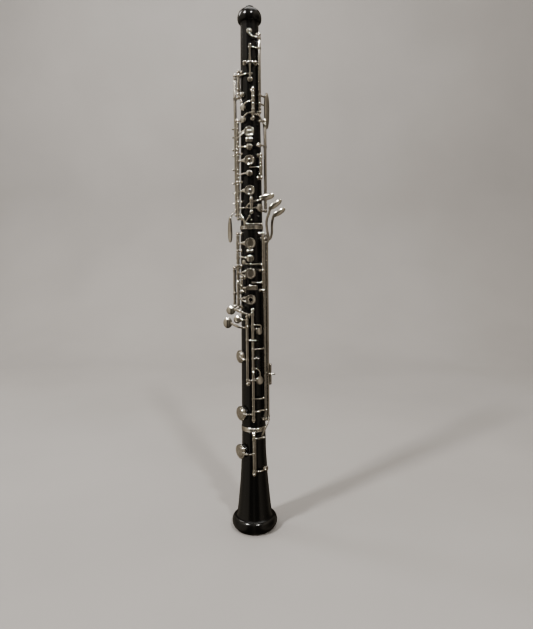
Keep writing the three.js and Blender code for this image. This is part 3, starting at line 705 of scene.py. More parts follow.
# tone holes: (angle, z, hole radius, seat radius[, seat height])
HOLES = {
    "upper_joint": [
        (2, 566, 0.8, 2.2), (4, 516.2, 0.8, 2.2), (-40, 501.2, 1.2, 2.3), (-35, 487.4, 1.5, 2.9),
        (-35, 474.5, 1.5, 2.9), (0, 461, 1.9, 4.4), (0, 444.8, 1.6, 2.9), (0, 430.4, 2.1, 4.4),
        (0, 416.5, 1.7, 2.9), (0, 397.8, 2.3, 4.4), (43.5, 379.3, 2.3, 3.6)],
    "lower_joint": [
        (0, 339.9, 2.6, 4.9), (0, 323, 2.0, 3.4), (-33.5, 319.1, 1.3, 2.3), (0, 306.5, 2.8, 4.9),
        (-100, 291, 2.4, 3.4), (-128, 283, 1.8, 2.8), (0, 276.9, 3.0, 4.7), (31, 240.5, 2.6, 3.4),
        (-58, 210.4, 4.4, 6.2), (31, 183.5, 3.0, 4.0), (-55, 143.5, 5.0, 7.0)],
    "bell": [(-56, 97.7, 4.8, 7.2, BELL_SEAT_UP), (56, 76.4, 1.4, 2.6)],
}


def boolean(obj, solids, operation):
    cutters = []
    for i, solid in enumerate(solids):
        mesh = mesh_of("tmp", solid)
        mesh.materials.append(WOOD)
        cutters.append(add_object("tmp%d" % i, mesh))
    for cutter in cutters:
        modifier = obj.modifiers.new("cut", "BOOLEAN")
        modifier.operation = operation
        modifier.solver = "EXACT"
        modifier.object = cutter
    bpy.context.view_layer.update()
    graph = bpy.context.evaluated_depsgraph_get()
    mesh = bpy.data.meshes.new_from_object(obj.evaluated_get(graph))
    obj.modifiers.clear()
    obj.data = mesh
    for cutter in cutters:
        bpy.data.objects.remove(cutter)


def wood(name, profile):
    """A turned joint with raised seats and bored tone holes."""
    obj = make("vis_" + name, turned(Solid(), profile, ORIGIN, UP, ROUND, closed=True), WOOD,
               name)
    seats, bores = [], []
    for angle, z, hole_r, seat_r, *raised in HOLES[name]:
        seat_up = raised[0] if raised else SEAT_UP
        wood_r = body_r(z)
        level, start, axis = wood_r + seat_up, Vector((0, 0, z)), out(angle)
        # chimney with a soft shoulder, then a chamfered bore through it
        seat = [(0, wood_r - 2.4), (seat_r + 0.55, wood_r - 2.4),
                (seat_r + 0.45, wood_r - 0.12 * seat_r * seat_r / wood_r * 2.0),
                (seat_r, level - 0.12), (seat_r - 0.12, level), (0, level)]
        seats.append(turned(Solid(), fillet(seat, 0.06, 1), start, axis, 40))
        bore = [(0, 1.0), (hole_r, 1.0), (hole_r, level - 0.35), (hole_r + 0.3, level + 0.02),
                (hole_r + 0.3, wood_r + 9), (0, wood_r + 9)]
        bores.append(turned(Solid(), bore, start, axis, 32))
    boolean(obj, seats, "UNION")
    boolean(obj, bores, "DIFFERENCE")
    shade(obj.data, 28, weld=True)
    if not obj.data.materials:  # in case the Boolean dropped the material
        obj.data.materials.append(WOOD)


def curve_through(points):
    """Dense (radius, z) line through points, for the crown and the bell's flare."""
    return [(spot.x, spot.z) for spot in spline([Vector((r, 0, z)) for r, z in points], per=5)]


def cone(radius, growth, top, bottom):
    """Eight steps down an outside that widens by growth."""
    return [(radius + growth * k / 8, top - (top - bottom) * k / 8) for k in range(1, 9)]


# joint profiles: (radius, z), down the outside and back up the bore
wood("upper_joint", [
    (3.3, TOP), (3.55, TOP), (4.3, TOP), (4.62, TOP - 0.35), (4.75, TOP - 1.3),
    *curve_through([(5.0, 594.1), (8.2, 592.7), (11.2, 590.1), (12.85, 586.6), (13.2, 582.9),
                    (12.5, 579.9), (10.9, 578.55)]),
    (10.35, 578.4), (10.02, 577.6), (9.9, 575), *cone(9.9, 2.42, 575, SHOULDER),
    (9.0, SHOULDER), (9.0, 357.6), (8.2, 357.2), (8.2, 347.4), (8.9, 347.2), (8.9, 343.5),
    (8.7, 343.3), (5.4, 343.3), (2.2, 574), (3.3, 574.6)])
wood("lower_joint", [
    (9.4, LOWER_TOP), (11.5, LOWER_TOP), (11.5, 355.6), (12.45, 355.55), (12.6, 355.4),
    *cone(12.6, 1.3, 355.4, LOWER_SHOULDER),
    (11.1, LOWER_SHOULDER), (11.1, 124.6), (10.3, 124.2), (10.3, 111.6), (10.9, 111.4),
    (10.9, 106.6), (10.7, 106.4), (8.1, 106.4), (5.5, 343.0), (9.4, 343.0)])
wood("bell", [
    (11.4, BELL_TOP), (12.7, BELL_TOP), (12.7, 121.2), (13.75, 121.15), (13.92, 120.9),
    *curve_through([(14.1, 110), (14.45, 95), (15.2, 82.5), (16.25, 63.7), (17.7, 47.4),
                    (19.1, 32.7), (20.6, 20.6), (21.35, 17.4)]),
    *curve_through([(21.9, 16.4), (24.0, 15.5), (26.2, 12.9), (27.17, 8.8), (26.2, 4.9),
                    (24.1, 1.7), (22.6, 0.35)]),
    (21.9, 0.0), (18.9, 0.0), (18.5, 0.35),
    *curve_through([(17.8, 4), (14.6, 22), (11.8, 52), (9.6, 84), (8.4, 106.1)]),
    (11.4, 106.1)])


def socket_ring(name, inner, outer, low, high, grooves):
    profile = [(inner, low), (outer - 0.25, low), (outer, low + 0.3)]
    for z in grooves:
        profile += [(outer, z - 0.35), (outer - 0.16, z - 0.12), (outer - 0.16, z + 0.12),
                    (outer, z + 0.35)]
    profile += [(outer, high - 0.3), (outer - 0.25, high), (inner, high)]
    solid = turned(Solid(), fillet(profile, 0.1, 2, closed=True), ORIGIN, UP, ROUND, closed=True)
    make("vis_" + name, solid, RING, name, limit=35)


def tenon_cork(name, inner, outer, low, high):
    profile = [(inner, low), (outer - 0.35, low), (outer, low + 0.8), (outer, high - 0.8),
               (outer - 0.35, high), (inner, high)]
    solid = turned(Solid(), fillet(profile, 0.3, 3, closed=True), ORIGIN, UP, 96, closed=True)
    make("vis_" + name, solid, CORK, name)


socket_ring("lower_joint_socket_ring", 11.62, 13.25, 355.75, LOWER_TOP - 0.02, (357.0, 358.8))
socket_ring("bell_socket_ring", 12.85, 14.45, 121.35, BELL_TOP - 0.02, (122.6, 125.5))
tenon_cork("upper_tenon_cork", 8.26, 9.25, 347.5, 357.1)
tenon_cork("lower_tenon_cork", 10.36, 11.25, 111.7, 124.1)


def thumb_rest():
    """Base plate, curved hook and two screws at the back."""
    z = 318
    wood_r = body_r(z)
    plate = [(-4.4, -11.8), (4.4, -11.8), (5, -9), (5, 9), (4.4, 11.8), (-4.4, 11.8), (-5, 9),
             (-5, -9)]
    hook = [(180, wood_r + 1.4, 322), (180, wood_r + 6, 321.4), (180, wood_r + 12, 320.4),
            (180, wood_r + 17, 322), (180, wood_r + 19.4, 325.2)]
    rest = Solid()
    touch(rest, dense(plate, 5), 180, wood_r + 0.1, z, thick=1.9, tilt=0, crown=0.05)
    arm(rest, 9, 2.1, hook, taper=(1, 1, 1, 0.9), sides=24)
    make("vis_thumb_rest", rest, RING, "thumb_rest")
    screws = Solid()
    for screw_z in (310, 327.4):
        screw_head(screws, place(180, wood_r + 1.95, screw_z), out(180), 1.9, 0.9)
    make("vis_thumb_rest_screws", screws, STEEL)


thumb_rest()

# ---------------------------------------------------------------- rods and posts
# rod: (angle, radius, heights of its posts from the top down)
RODS = {
    "side_octave_rod": (54.6, 13.2, [564, 483]),
    "thumb_octave_rod": (-63, 13.8, [526, 503]),
    "trill_lever_rod": (-77, 17.2, [523, 372]),
    "upper_stack_rod": (-60, 16.4, [474, 439, 408, 386.5, 367.6]),
    "trill_vent_rod": (15, 15.3, [505.5, 475.3]),
    "link_key_rod": (46, 16.2, [436.5, 412]),
    "left_trill_rod": (68, 17.6, [474, 376]),
    "g_sharp_lever_rod": (4, 16.4, [389.2, 374.6]),
    "lower_stack_rod": (-63, 17.3, [351, 331.5, 314.8, 297, 267.5]),
    "f_resonance_rod": (-84, 20.3, [313, 268]),
    "f_key_rod": (-36, 18.1, [301.6, 286.6]),
    "right_vent_rod": (46.6, 18.5, [351, 309.5, 287]),
    "b_lever_rod": (58.6, 16.9, [345, 136]),
    "b_flat_lever_rod": (80.8, 17.5, [349, 134]),
    "c_key_rod": (-17.5, 17.3, [257.5, 180]),
    "e_flat_b_rod": (4, 17.2, [265, 193.5, 137]),
    "bell_key_rod": (4, 18.6, [119.5, 72.5]),
}
NO_SPRING = ("lower_stack_rod", 297)
HEAD_OUT = 1.75  # screw heads beyond the centres of the end posts


def rod_and_posts(name):
    angle, radius, heights = RODS[name]
    high, low = heights[0], heights[-1]
    rod, posts, springs = Solid(), Solid(), Solid()
    profile = [(0, low), (ROD_R, low), (ROD_R, high), (0, high)]
    turned(rod, fillet(profile, 0.1, 1), place(angle, radius, 0), UP, 20)
    for z in heights:
        post(posts, angle, radius, z)
    screw_head(rod, place(angle, radius, high + HEAD_OUT), UP, 1.05, 0.45)
    screw_head(rod, place(angle, radius, low - HEAD_OUT), -UP, 1.05, 0.45)
    make("vis_" + name, rod, STEEL, name)
    make("vis_posts_of_" + name, posts, POST, limit=50)
    outward = out(angle)
    aside = Vector((-outward.y, outward.x, 0)) * (1 if angle < 0 else -1)
    for z in heights[:-1]:
        if (name, z) == NO_SPRING:
            continue
        span = min(16.0, (z - low) * 0.6)
        needle(springs, place(angle, radius - 2.1, z) - UP * 0.5,
               place(angle, radius - 2.0, z - span) + aside * 0.9, sag=aside * 0.5)
    make("vis_springs_of_" + name, springs, SPRING)


for rod_name in RODS:
    rod_and_posts(rod_name)

# first-octave rocker: its axle lies crosswise between two uprights
ROCKER_ANGLE, ROCKER_R, ROCKER_Z, ROCKER_HALF = 4, 13.6, 533.5, 5.7
ROCKER_OUT = out(ROCKER_ANGLE)
ROCKER_ACROSS = sideways(ROCKER_OUT)
ROCKER_AT = place(ROCKER_ANGLE, ROCKER_R, ROCKER_Z)


def rocker_axle():
    foot = math.sqrt(body_r(ROCKER_Z) ** 2 - ROCKER_HALF ** 2)
    profile = [(0, foot - 0.6), (2.0, foot - 0.6), (2.05, foot + 0.4), (1.7, foot + 0.7),
               (1.1, foot + 1.1), (1.0, ROCKER_R - 1.6)] + ball_head(1.85, ROCKER_R)
    posts, axle = Solid(), Solid()
    for side in (1, -1):
        start = ROCKER_ACROSS * side * ROCKER_HALF + Vector((0, 0, ROCKER_Z))
        turned(posts, profile, start, ROCKER_OUT, 28)
        screw_head(axle, ROCKER_AT + ROCKER_ACROSS * side * (ROCKER_HALF + 1.65),
                   ROCKER_ACROSS * side, 1.0, 0.4)
    turned(axle, [(0, -ROCKER_HALF), (ROD_R, -ROCKER_HALF), (ROD_R, ROCKER_HALF),
                  (0, ROCKER_HALF)], ROCKER_AT, ROCKER_ACROSS, 20)
    make("vis_octave_rocker_axle", axle, STEEL, "octave_rocker_axle")
    make("vis_posts_of_octave_rocker_axle", posts, POST)


rocker_axle()

# ---------------------------------------------------------------- keys
PLATE_TAPER = (1.2, 0.75, 1.0, 2.0)
EVEN = (1.0, 1.0, 1.0, 1.0)
# eight short studs with round ends along the trill lever's tube
LEVER_STUDS = []
for stud_z in (466.5, 457.5, 443.5, 437.5, 422.0, 407.0, 396.5, 385.0):
    LEVER_STUDS += [("arm", 1.7, 1.3, stud_z, [(-81, 19.5, stud_z)]),
                    ("bead", -81.5, 19.9, stud_z, 1.15)]
F_TOUCH = dense([(-7, -1.6), (-4.5, -2.6), (6, -2.6), (7.2, -1.2), (7.2, 1.2), (6, 2.7),
                 (-3.5, 2.5)], 6)

# key: (rod, top and bottom of its tube, degrees it stands open, parts drawn shut).
# A key that stands open has its cup as first part. Places are (angle, radius, z). Parts:
#   cup     angle, z, radius[, style[, hole radius[, seat height]]]
#   arm     width, thickness, z where it leaves the tube, further places[, taper]
#   branch  width, thickness, places[, taper]
#   touch   outline, angle, radius, z, thickness, tilt, crown[, angle it faces]
#   bead    angle, radius, z, bead radius
#   stick   start, end, bar radius
KEYS = {
    "side_octave_key": ("side_octave_rod", 561.8, 485.2, 0, [
        ("cup", 2, 566, 3.0),
        ("arm", 2, 1.3, 560, [(34, 13.6, 560), (14, 13.4, 560.5), (2, 13.0, 563.5),
                              (2, 12.7, 566)]),
        ("arm", 1.8, 1.1, 549.8, [(36, 12.3, 549.8), (16, 11.7, 549.8), (-4, 11.7, 549.8)]),
        ("arm", 2, 1.3, 500.5, [(68, 14.4, 500.5), (80, 15.6, 500.5), (88, 17.2, 500.5)]),
        ("arm", 2, 1.3, 491.5, [(68, 14.4, 491.5), (80, 15.6, 491.5), (88, 17.2, 491.5)]),
        ("touch", leaf(39, 7.6), 90, 17.6, 486, 1.5, 90, 0.35, 42)]),
    "thumb_octave_key": ("thumb_octave_rod", 523.8, 505.2, 0, [
        ("arm", 2, 1.2, 521.8, [(-42, 12.6, 522), (-20, 11.9, 522.3), (4, 12.0, 522.3),
                                (14, 12.1, 522.3)]),
        ("arm", 2.4, 1.3, 507, [(-90, 13.6, 505), (-120, 13.4, 501), (-150, 13.8, 496),
                                (-172, 14.2, 489)]),
        ("touch", oval(4.6, 10.5), 180, 13.6, 483, 1.5, 0, -0.25)]),
    "trill_lever_key": ("trill_lever_rod", 520.8, 374.2, 0, [
        ("arm", 2, 1.1, 498.2, [(-68, 14.9, 498.2), (-57, 12.6, 497.8), (-50, 12.3, 495.8),
                                (-46, 12.2, 492.6)]),
        ("cup", -40, 501.2, 3.0),
        ("arm", 1.7, 1.1, 498.9, [(-66, 15.4, 498.9), (-54, 14.6, 499.0), (-41, 14.2, 500.4)]),
        ("arm", 2.6, 1.5, 376.5, [(-80, 21.0, 374.2), (-80, 24.6, 368)]),
        *LEVER_STUDS,
        ("touch", blade(29, 7.2), -80, 24.2, 355.8, 1.6, 90, 0.5, -28)]),
    "upper_trill_key": ("trill_vent_rod", 503.3, 490.9, 0, [
        ("cup", -35, 487.4, 3.6),
        ("arm", 2, 1.3, 493, [(-4, 15.2, 492.5), (-20, 14.6, 490.5), (-35, 13.9, 487.4)]),
        ("branch", 2, 1.1, [(-35, 13.9, 487.4), (-40, 13.95, 490.6), (-43.5, 14.05, 493.2)])]),
    "lower_trill_key": ("trill_vent_rod", 490.6, 477.5, 0, [
        ("cup", -35, 474.5, 3.6),
        ("arm", 2, 1.3, 480.5, [(-4, 15.2, 480.3), (-20, 14.6, 478), (-35, 13.9, 474.5)]),
        ("arm", 2.2, 1.2, 479.2, [(26, 14.5, 479.2), (35, 14.1, 479.2)])]),
    "left_trill_key": ("left_trill_rod", 471.8, 378.2, 0, [
        ("arm", 2.2, 1.2, 468.6, [(56, 17.4, 470.2), (44, 16.6, 476.4), (33, 16.0, 479.4)]),
        ("arm", 2, 1.3, 446, [(54, 19.4, 446), (40, 18.9, 446)]),
        ("touch", oval(3.6, 2.3), 33, 17.9, 446, 1.4, 0, 0.2)]),
    "b_plate_key": ("upper_stack_rod", 471.8, 451.6, 5.5, [
        ("cup", 0, 461, 5.7, "plate", 1.2),
        ("arm", 2.4, 1.4, 460.5, [(-44, 15.3, 460.7), (-28, 14.2, 461), (-22, 13.9, 461)],
         PLATE_TAPER),
        ("arm", 2.2, 1.3, 454.5, [(-46, 16.9, 455.5), (-34, 15.6, 457.5), (-24, 14.4, 460)]),
        ("touch", box_oval(4.1, 2.9), 0, cup_mid(452.3) - 0.2, 451.9, 1.6, 0, 0.6),
        ("touch", box_oval(1.5, 2.2), 0, cup_mid(452.3) - 0.3, 455.2, 1.2, 0, 0.2)]),
    "c_vent_key": ("upper_stack_rod", 451.3, 441.2, 6, [
        ("cup", 0, 444.8, 3.6),
        ("arm", 2, 1.3, 445.3, [(-44, 15.3, 445.3), (-26, 14.3, 445), (-8, 13.9, 444.8)])]),
    "a_plate_key": ("upper_stack_rod", 436.8, 421.9, 5.5, [
        ("cup", 0, 430.4, 5.7, "plate", 1.2),
        ("arm", 2.4, 1.4, 430, [(-44, 15.5, 430.2), (-28, 14.5, 430.4), (-22, 14.2, 430.4)],
         PLATE_TAPER)]),
    "b_flat_vent_key": ("upper_stack_rod", 421.6, 410.2, 6, [
        ("cup", 0, 416.5, 3.6),
        ("arm", 2, 1.3, 415.6, [(-44, 15.4, 415.6), (-26, 14.5, 416.2), (-8, 14.2, 416.5)])]),
    "g_plate_key": ("upper_stack_rod", 405.8, 388.7, 5.5, [
        ("cup", 0, 397.8, 5.7, "plate", 1.2),
        ("arm", 2.4, 1.4, 396.8, [(-44, 15.6, 397.2), (-28, 14.7, 397.8), (-22, 14.4, 397.8)],
         PLATE_TAPER)]),
    "g_sharp_key": ("upper_stack_rod", 384.3, 375.5, 0, [
        ("cup", 43.5, 379.3, 4.5),
        ("arm", 1.9, 1.2, 379, [(-46, 16.6, 379), (-32, 16.4, 379), (-20, 15.6, 379),
                                (-9, 13.7, 379), (4, 13.2, 379), (20, 13.5, 379),
                                (34, 14.6, 379.2)])]),
    "bridge_key": ("upper_stack_rod", 375.2, 369.8, 0, [
        ("arm", 2.2, 1.3, 372.4, [(-46, 17.2, 371.8), (-34, 17.0, 369.5), (-26, 16.4, 364),
                                  (-24, 16.2, 357.4)]),
        ("branch", 1.7, 1.2, [(-27, 16.5, 365.2), (-21, 16.2, 361.7), (-8, 15.6, 361.4),
                              (10, 15.2, 361.4), (32, 15.2, 361.4), (54, 15.6, 361.4)],
         (1.3, 0.9, 0.8, 0.8, 0.8, 1.0)),
        ("bead", -24, 16.4, 357.8, 1.3), ("bead", -16, 16.1, 361.5, 1.5),
        ("bead", 12.3, 15.5, 361.4, 1.35), ("bead", 36.9, 15.5, 361.4, 1.25),
        ("bead", 53.5, 15.7, 361.4, 1.35), ("bead", -31, 17.0, 367.6, 1.2),
        ("branch", 1.7, 1.1, [(-23, 16.4, 362.4), (-14, 16.2, 365.6), (-5, 15.8, 369.0)]),
        ("bead", -4, 16.0, 369.8, 1.45), ("bead", 3.2, 15.7, 365.6, 1.15)]),
    "g_sharp_lever": ("g_sharp_lever_rod", 387.0, 376.8, 0, [
        ("arm", 2, 1.1, 383.6, [(-8, 14.6, 383.2), (-17, 13.5, 381), (-22, 13.5, 378.6)]),
        ("arm", 2.3, 1.4, 385.3, [(18, 18.0, 386.0), (34, 18.7, 387.4), (50, 18.8, 389.8)]),
        ("bead", 4, 17.4, 387.4, 1.5),
        ("touch", leaf(18, 8.1), 58.3, 20.6, 391, 1.5, 14, 0.9, 18)]),
    "link_key": ("link_key_rod", 434.3, 414.2, 0, [
        ("arm", 1.8, 1.2, 423.2, [(32, 14.4, 423.2), (16, 13.2, 423.2), (-4, 13.0, 423.2)])]),
    "f_sharp_plate_key": ("lower_stack_rod", 348.8, 333.7, 5.5, [
        ("cup", 0, 339.9, 6.2, "plate"),
        ("arm", 2.4, 1.4, 339.6, [(-46, 16.6, 339.8), (-30, 15.8, 339.9), (-22, 15.5, 339.9)],
         PLATE_TAPER),
        ("touch", box_oval(4.2, 2.0), 0, cup_mid(333) + 0.2, 331.4, 1.4, 0, 0.6),
        ("touch", box_oval(1.5, 2.6), 0, cup_mid(333) + 0.1, 334.6, 1.2, 0, 0.2)]),
    "f_sharp_vent_key": ("lower_stack_rod", 329.3, 317.0, 5.5, [
        ("cup", 0, 323, 4.2),
        ("arm", 2, 1.3, 324.6, [(-46, 16.8, 324.6), (-26, 16.3, 324.4), (-8, 15.8, 323.6)])]),
    "e_plate_key": ("lower_stack_rod", 312.6, 299.2, 5.5, [
        ("cup", 0, 306.5, 6.2, "plate"),
        ("arm", 1.9, 1.3, 306, [(-48, 16.8, 306.2), (-34, 16.3, 307.6), (-21, 15.8, 308.8)]),
        ("branch", 1.9, 1.3, [(-48, 16.8, 306.2), (-34, 16.3, 304.8), (-21, 15.8, 303.8)])]),
    "d_plate_key": ("lower_stack_rod", 294.8, 269.7, 5.5, [
        ("cup", 0, 276.9, 6.0, "plate", 2.0),
        ("arm", 1.9, 1.3, 277.6, [(-48, 16.9, 277.6), (-34, 16.5, 278.6), (-21, 16.1, 279.6)]),
        ("branch", 1.9, 1.3, [(-48, 16.9, 277.6), (-34, 16.5, 275.8), (-21, 16.1, 274.6)])]),
    "f_key": ("f_key_rod", 299.4, 288.8, 0, [
        ("cup", -100, 291, 4.0),
        ("arm", 2.2, 1.2, 291.5, [(-48, 15.0, 291.5), (-66, 14.1, 291.5), (-84, 14.6, 291.2),
                                  (-96, 15.8, 291)]),
        ("arm", 2.4, 1.4, 290.2, [(-28, 19.3, 290.2), (-16, 19.4, 290.4)]),
        ("touch", F_TOUCH, 0, 18.6, 290.5, 1.5, 0, 0.25)]),
    "f_resonance_key": ("f_resonance_rod", 310.8, 270.2, 0, [
        ("cup", -128, 283, 3.4),
        ("arm", 2, 1.3, 283, [(-98, 19.4, 283), (-112, 17.8, 283), (-124, 16.6, 283)])]),
    "side_vent_key": ("right_vent_rod", 348.8, 311.7, 0, [
        ("cup", -33.5, 319.1, 3.0),
        ("arm", 1.9, 1.2, 316.6, [(30, 17.0, 316.6), (12, 15.6, 316.6), (-6, 15.3, 316.6),
                                  (-20, 15.4, 317.2), (-32, 15.6, 318.6)])]),
    "fork_link_key": ("right_vent_rod", 307.3, 289.2, 0, [
        ("arm", 1.9, 1.2, 296, [(32, 17.4, 296), (18, 16.6, 296), (3, 16.4, 296)])]),
    "e_flat_key": ("e_flat_b_rod", 262.8, 246.6, 0, [
        ("cup", 31, 240.5, 4.2),
        ("arm", 2.0, 1.3, 248.2, [(18, 18.2, 248.2), (34, 18.0, 247.4), (36, 17.2, 243.5),
                                  (33, 16.2, 241.4)]),
        ("arm", 3.0, 1.9, 260.6, [(-9.7, 20.9, 260.6), (-22, 22.8, 262.0), (-35, 23.8, 264.4),
                                  (-47.7, 24.4, 265.8), (-55.6, 25.2, 265.4)],
         (0.8, 0.8, 1.0, 1.15, 1.1)),
        ("touch", oval(5.35, 4.95), -61, 27.0, 264.6, 1.5, 0, 1.6, -16)]),
    "c_sharp_lever": ("c_key_rod", 255.3, 248.4, 0, [
        ("arm", 2.2, 1.4, 253.8, [(-24.1, 20.0, 254), (-35.6, 21.0, 254.4)]),
        ("touch", oval(4.75, 4.65), -47, 21.7, 254.4, 1.5, 0, 1.5, -16),
        ("arm", 1.6, 0.9, 250, [(-10, 15.0, 247.2), (0, 13.9, 243.9), (6, 13.8, 243.0),
                                (11, 13.9, 243.0)])]),
    "c_sharp_key": ("e_flat_b_rod", 246.3, 195.7, 0, [
        ("cup", 31, 183.5, 5.0),
        ("arm", 2.2, 1.3, 197.8, [(14, 18.4, 197.8), (25, 18.6, 195.6), (31, 17.2, 190),
                                  (31, 16.2, 184)]),
        ("arm", 1.9, 1.2, 243.4, [(10, 17.0, 243.4), (17, 16.0, 243.4)]),
        ("arm", 1.9, 1.2, 220.6, [(18, 18.6, 220.6), (34, 18.6, 220.6), (45, 17.8, 220.6)]),
        ("bead", 45, 17.9, 220.6, 1.2), ("bead", 14, 18.8, 220.6, 1.15),
        ("arm", 1.9, 1.2, 209.8, [(14, 18.3, 209.8), (24, 18.6, 209.8)]),
        ("bead", 24, 18.7, 209.8, 1.3), ("bead", 13, 18.6, 209.8, 1.1)]),
    "c_key": ("c_key_rod", 248.1, 182.2, 7, [
        ("cup", -58, 210.4, 7.5, "big"),
        ("arm", 2.4, 1.4, 208, [(-30, 18.0, 208), (-44, 17.6, 209.4), (-56, 16.6, 210.4)]),
        ("arm", 1.8, 1.2, 184.6, [(-8, 19.9, 184.6), (2, 20.5, 184.6), (11, 20.3, 184.6)]),
        ("arm", 2.9, 1.9, 245.6, [(-26.7, 21.3, 245.6), (-39.3, 24.0, 246.6),
                                  (-51.4, 25.6, 248.8), (-58.1, 27.0, 250.4)],
         (0.8, 0.8, 1.0, 1.1, 1.1)),
        ("arm", 1.8, 1.2, 231, [(-8, 19.9, 231), (2, 20.5, 231), (11, 20.3, 231)]),
        ("bead", 11, 20.4, 231, 1.2), ("bead", 11, 20.4, 184.6, 1.2),
        ("touch", oval(5.25, 6.25), -66, 29.3, 250.6, 1.5, 0, 1.8, -16)]),
    "b_key": ("e_flat_b_rod", 191.3, 139.2, 7, [
        ("cup", -55, 143.5, 8.5, "big"),
        ("arm", 2.4, 1.4, 144.5, [(-12, 18.9, 144.5), (-30, 18.8, 144.2), (-46, 17.6, 143.8)])]),
    "b_lever": ("b_lever_rod", 342.8, 138.2, 0, [
        ("arm", 2.0, 1.2, 147.5, [(46, 15.7, 147.5), (34, 15.2, 147.5), (24, 15.4, 147.5)]),
        ("arm", 2.6, 2.6, 340.4, [(63, 20.4, 341.4), (66, 21.2, 347), (65.5, 19.7, 355),
                                  (65, 19.2, 362), (65, 19.8, 367), (66, 22.0, 373),
                                  (65.6, 24.0, 378.4)], EVEN),
        ("touch", leaf(18.3, 7.1), 73.7, 28.0, 382.8, 1.5, 36, 0.8, 18)]),
    "b_flat_lever": ("b_flat_lever_rod", 346.8, 136.2, 0, [
        ("arm", 2.2, 1.4, 138, [(64, 20.0, 134), (46, 21.2, 128.5), (36, 20.4, 121.5),
                                (33, 19.0, 117.2)]),
        ("arm", 2.6, 2.7, 344.4, [(84, 20.9, 345.2), (85.3, 23.0, 351), (84.2, 23.4, 361),
                                  (73.3, 25.4, 367), (68.5, 27.6, 370.8)], EVEN),
        ("touch", leaf(16.6, 6.9), 76.2, 32.2, 374.3, 1.5, 33, 0.8, 18),
        ("arm", 2, 1.3, 199.5, [(86, 20.4, 199.5)]), ("arm", 2, 1.3, 177, [(86, 20.4, 177)]),
        ("stick", (87, 20.3, 176), (87, 20.3, 200.5), 1.45),
        ("stick", (87, 20.3, 188.3), (87.5, 25.9, 188.3), 1.05),
        ("bead", 86, 20.0, 188.3, 2.0), ("bead", 86, 20.2, 199.5, 1.6),
        ("bead", 86, 20.2, 177, 1.6)]),
    "bell_key": ("bell_key_rod", 117.2, 74.8, 7, [
        ("cup", -56, 97.7, 8.6, "big", 0, BELL_SEAT_UP),
        ("arm", 2.4, 1.4, 97, [(-12, 19.9, 97), (-30, 19.4, 97.2), (-46, 18.2, 97.5)])]),
}
# parts of open keys that are drawn where they lie with the key open
DRAWN_OPEN = {
    "b_key": [
        ("arm", 2.0, 1.2, 147.5, [(14, 18.4, 147.5), (25, 18.9, 147.5)]),
        ("bead", 25, 19.0, 147.5, 1.2),
        ("arm", 1.9, 1.2, 162.6, [(16, 18.6, 162.6), (32, 18.8, 162.6), (43, 18.2, 162.6)]),
        ("bead", 43, 18.3, 162.6, 1.2)],
    "bell_key": [
        ("arm", 2.8, 1.5, 115.6, [(16, 20.6, 116.2), (28, 22.0, 116.8), (36, 22.6, 117.2)]),
        ("bead", 35, 22.6, 117.2, 1.4),
        ("arm", 2.0, 1.3, 76.4, [(18, 19.6, 76.4), (34, 19.4, 76.4), (52, 18.4, 76.4)]),
        ("stick", (10, 18.6, 78.5), (10, 18.6, 114.5), 0.55),
        ("bead", 48, 19.2, 76.4, 1.2),
        ("cup", 56, 76.4, 3.4)],
}
FREE_PARTS = {"branch": arm, "touch": touch, "bead": bead, "stick": stick}
# rods whose tubes carry evenly spaced bands; other long tubes have one at each end
BANDED_RODS = ("upper_stack_rod", "lower_stack_rod", "link_key_rod", "trill_vent_rod",
               "g_sharp_lever_rod")
BAND_INSET, BAND_HALF, BAND_R, BAND_PITCH = 1.3, 0.9, 1.95, 5.2
COLLAR_BORE, COLLAR_R = 1.2, 2.02


def turn_about(centre, degrees):
    return (Matrix.Translation(centre) @ Matrix.Rotation(rad(degrees), 4, "Z")
            @ Matrix.Translation(-centre))


def band_heights(rod, top, bottom):
    if rod in BANDED_RODS and top - bottom > 9:
        span = top - bottom - 2 * BAND_INSET
        count = max(2, round(span / BAND_PITCH))
        return [bottom + BAND_INSET + span * i / count for i in range(count + 1)]
    return [top - BAND_INSET, bottom + BAND_INSET] if top - bottom > 12 else []


def add_parts(metal, pads, rod, top, bottom, parts):
    angle, radius, _ = RODS[rod]
    for kind, *values in parts:
        if kind == "cup":
            cup(metal, pads, *values)
        elif kind == "arm":
            width, thick, z, places, *taper = values
            arm(metal, width, thick, [(angle, radius, z)] + places, *taper)
            # collar where the arm leaves its tube
            half = width * 0.75
            z = min(max(z, bottom + half), top - half)
            sleeve(metal, place(angle, radius, 0), UP, (COLLAR_BORE, COLLAR_R),
                   (z - half, z + half), corner=0.3, steps=3)
        else:
            FREE_PARTS[kind](metal, *values)


def make_key(name):
    rod, top, bottom, opening, parts = KEYS[name]
    angle, radius, _ = RODS[rod]
    centre = place(angle, radius, 0)
    metal, pads = Solid(), Solid()
    sleeve(metal, centre, UP, (TUBE_BORE, TUBE_R), (bottom, top), corner=0.18)
    for z in band_heights(rod, top, bottom):
        sleeve(metal, centre, UP, (COLLAR_BORE, BAND_R), (z - BAND_HALF, z + BAND_HALF),
               corner=0.2)
    add_parts(metal, pads, rod, top, bottom, parts)
    turn = None
    if opening:
        cup_angle = parts[0][1]
        if angle < cup_angle:
            opening = -opening
        turn = turn_about(centre, opening)
        turn_back = turn_about(centre, -opening)
        open_metal, open_pads = Solid(), Solid()
        add_parts(open_metal, open_pads, rod, top, bottom, DRAWN_OPEN.get(name, []))
        for whole, extra in ((metal, open_metal), (pads, open_pads)):
            whole.append([turn_back @ vert for vert in extra.verts], extra.faces)
    make("vis_" + name, metal, KEY, name, body=name, limit=38, turn=turn)
    if pads.verts:
        make("vis_pad_of_" + name, pads, PAD, body=name, turn=turn)


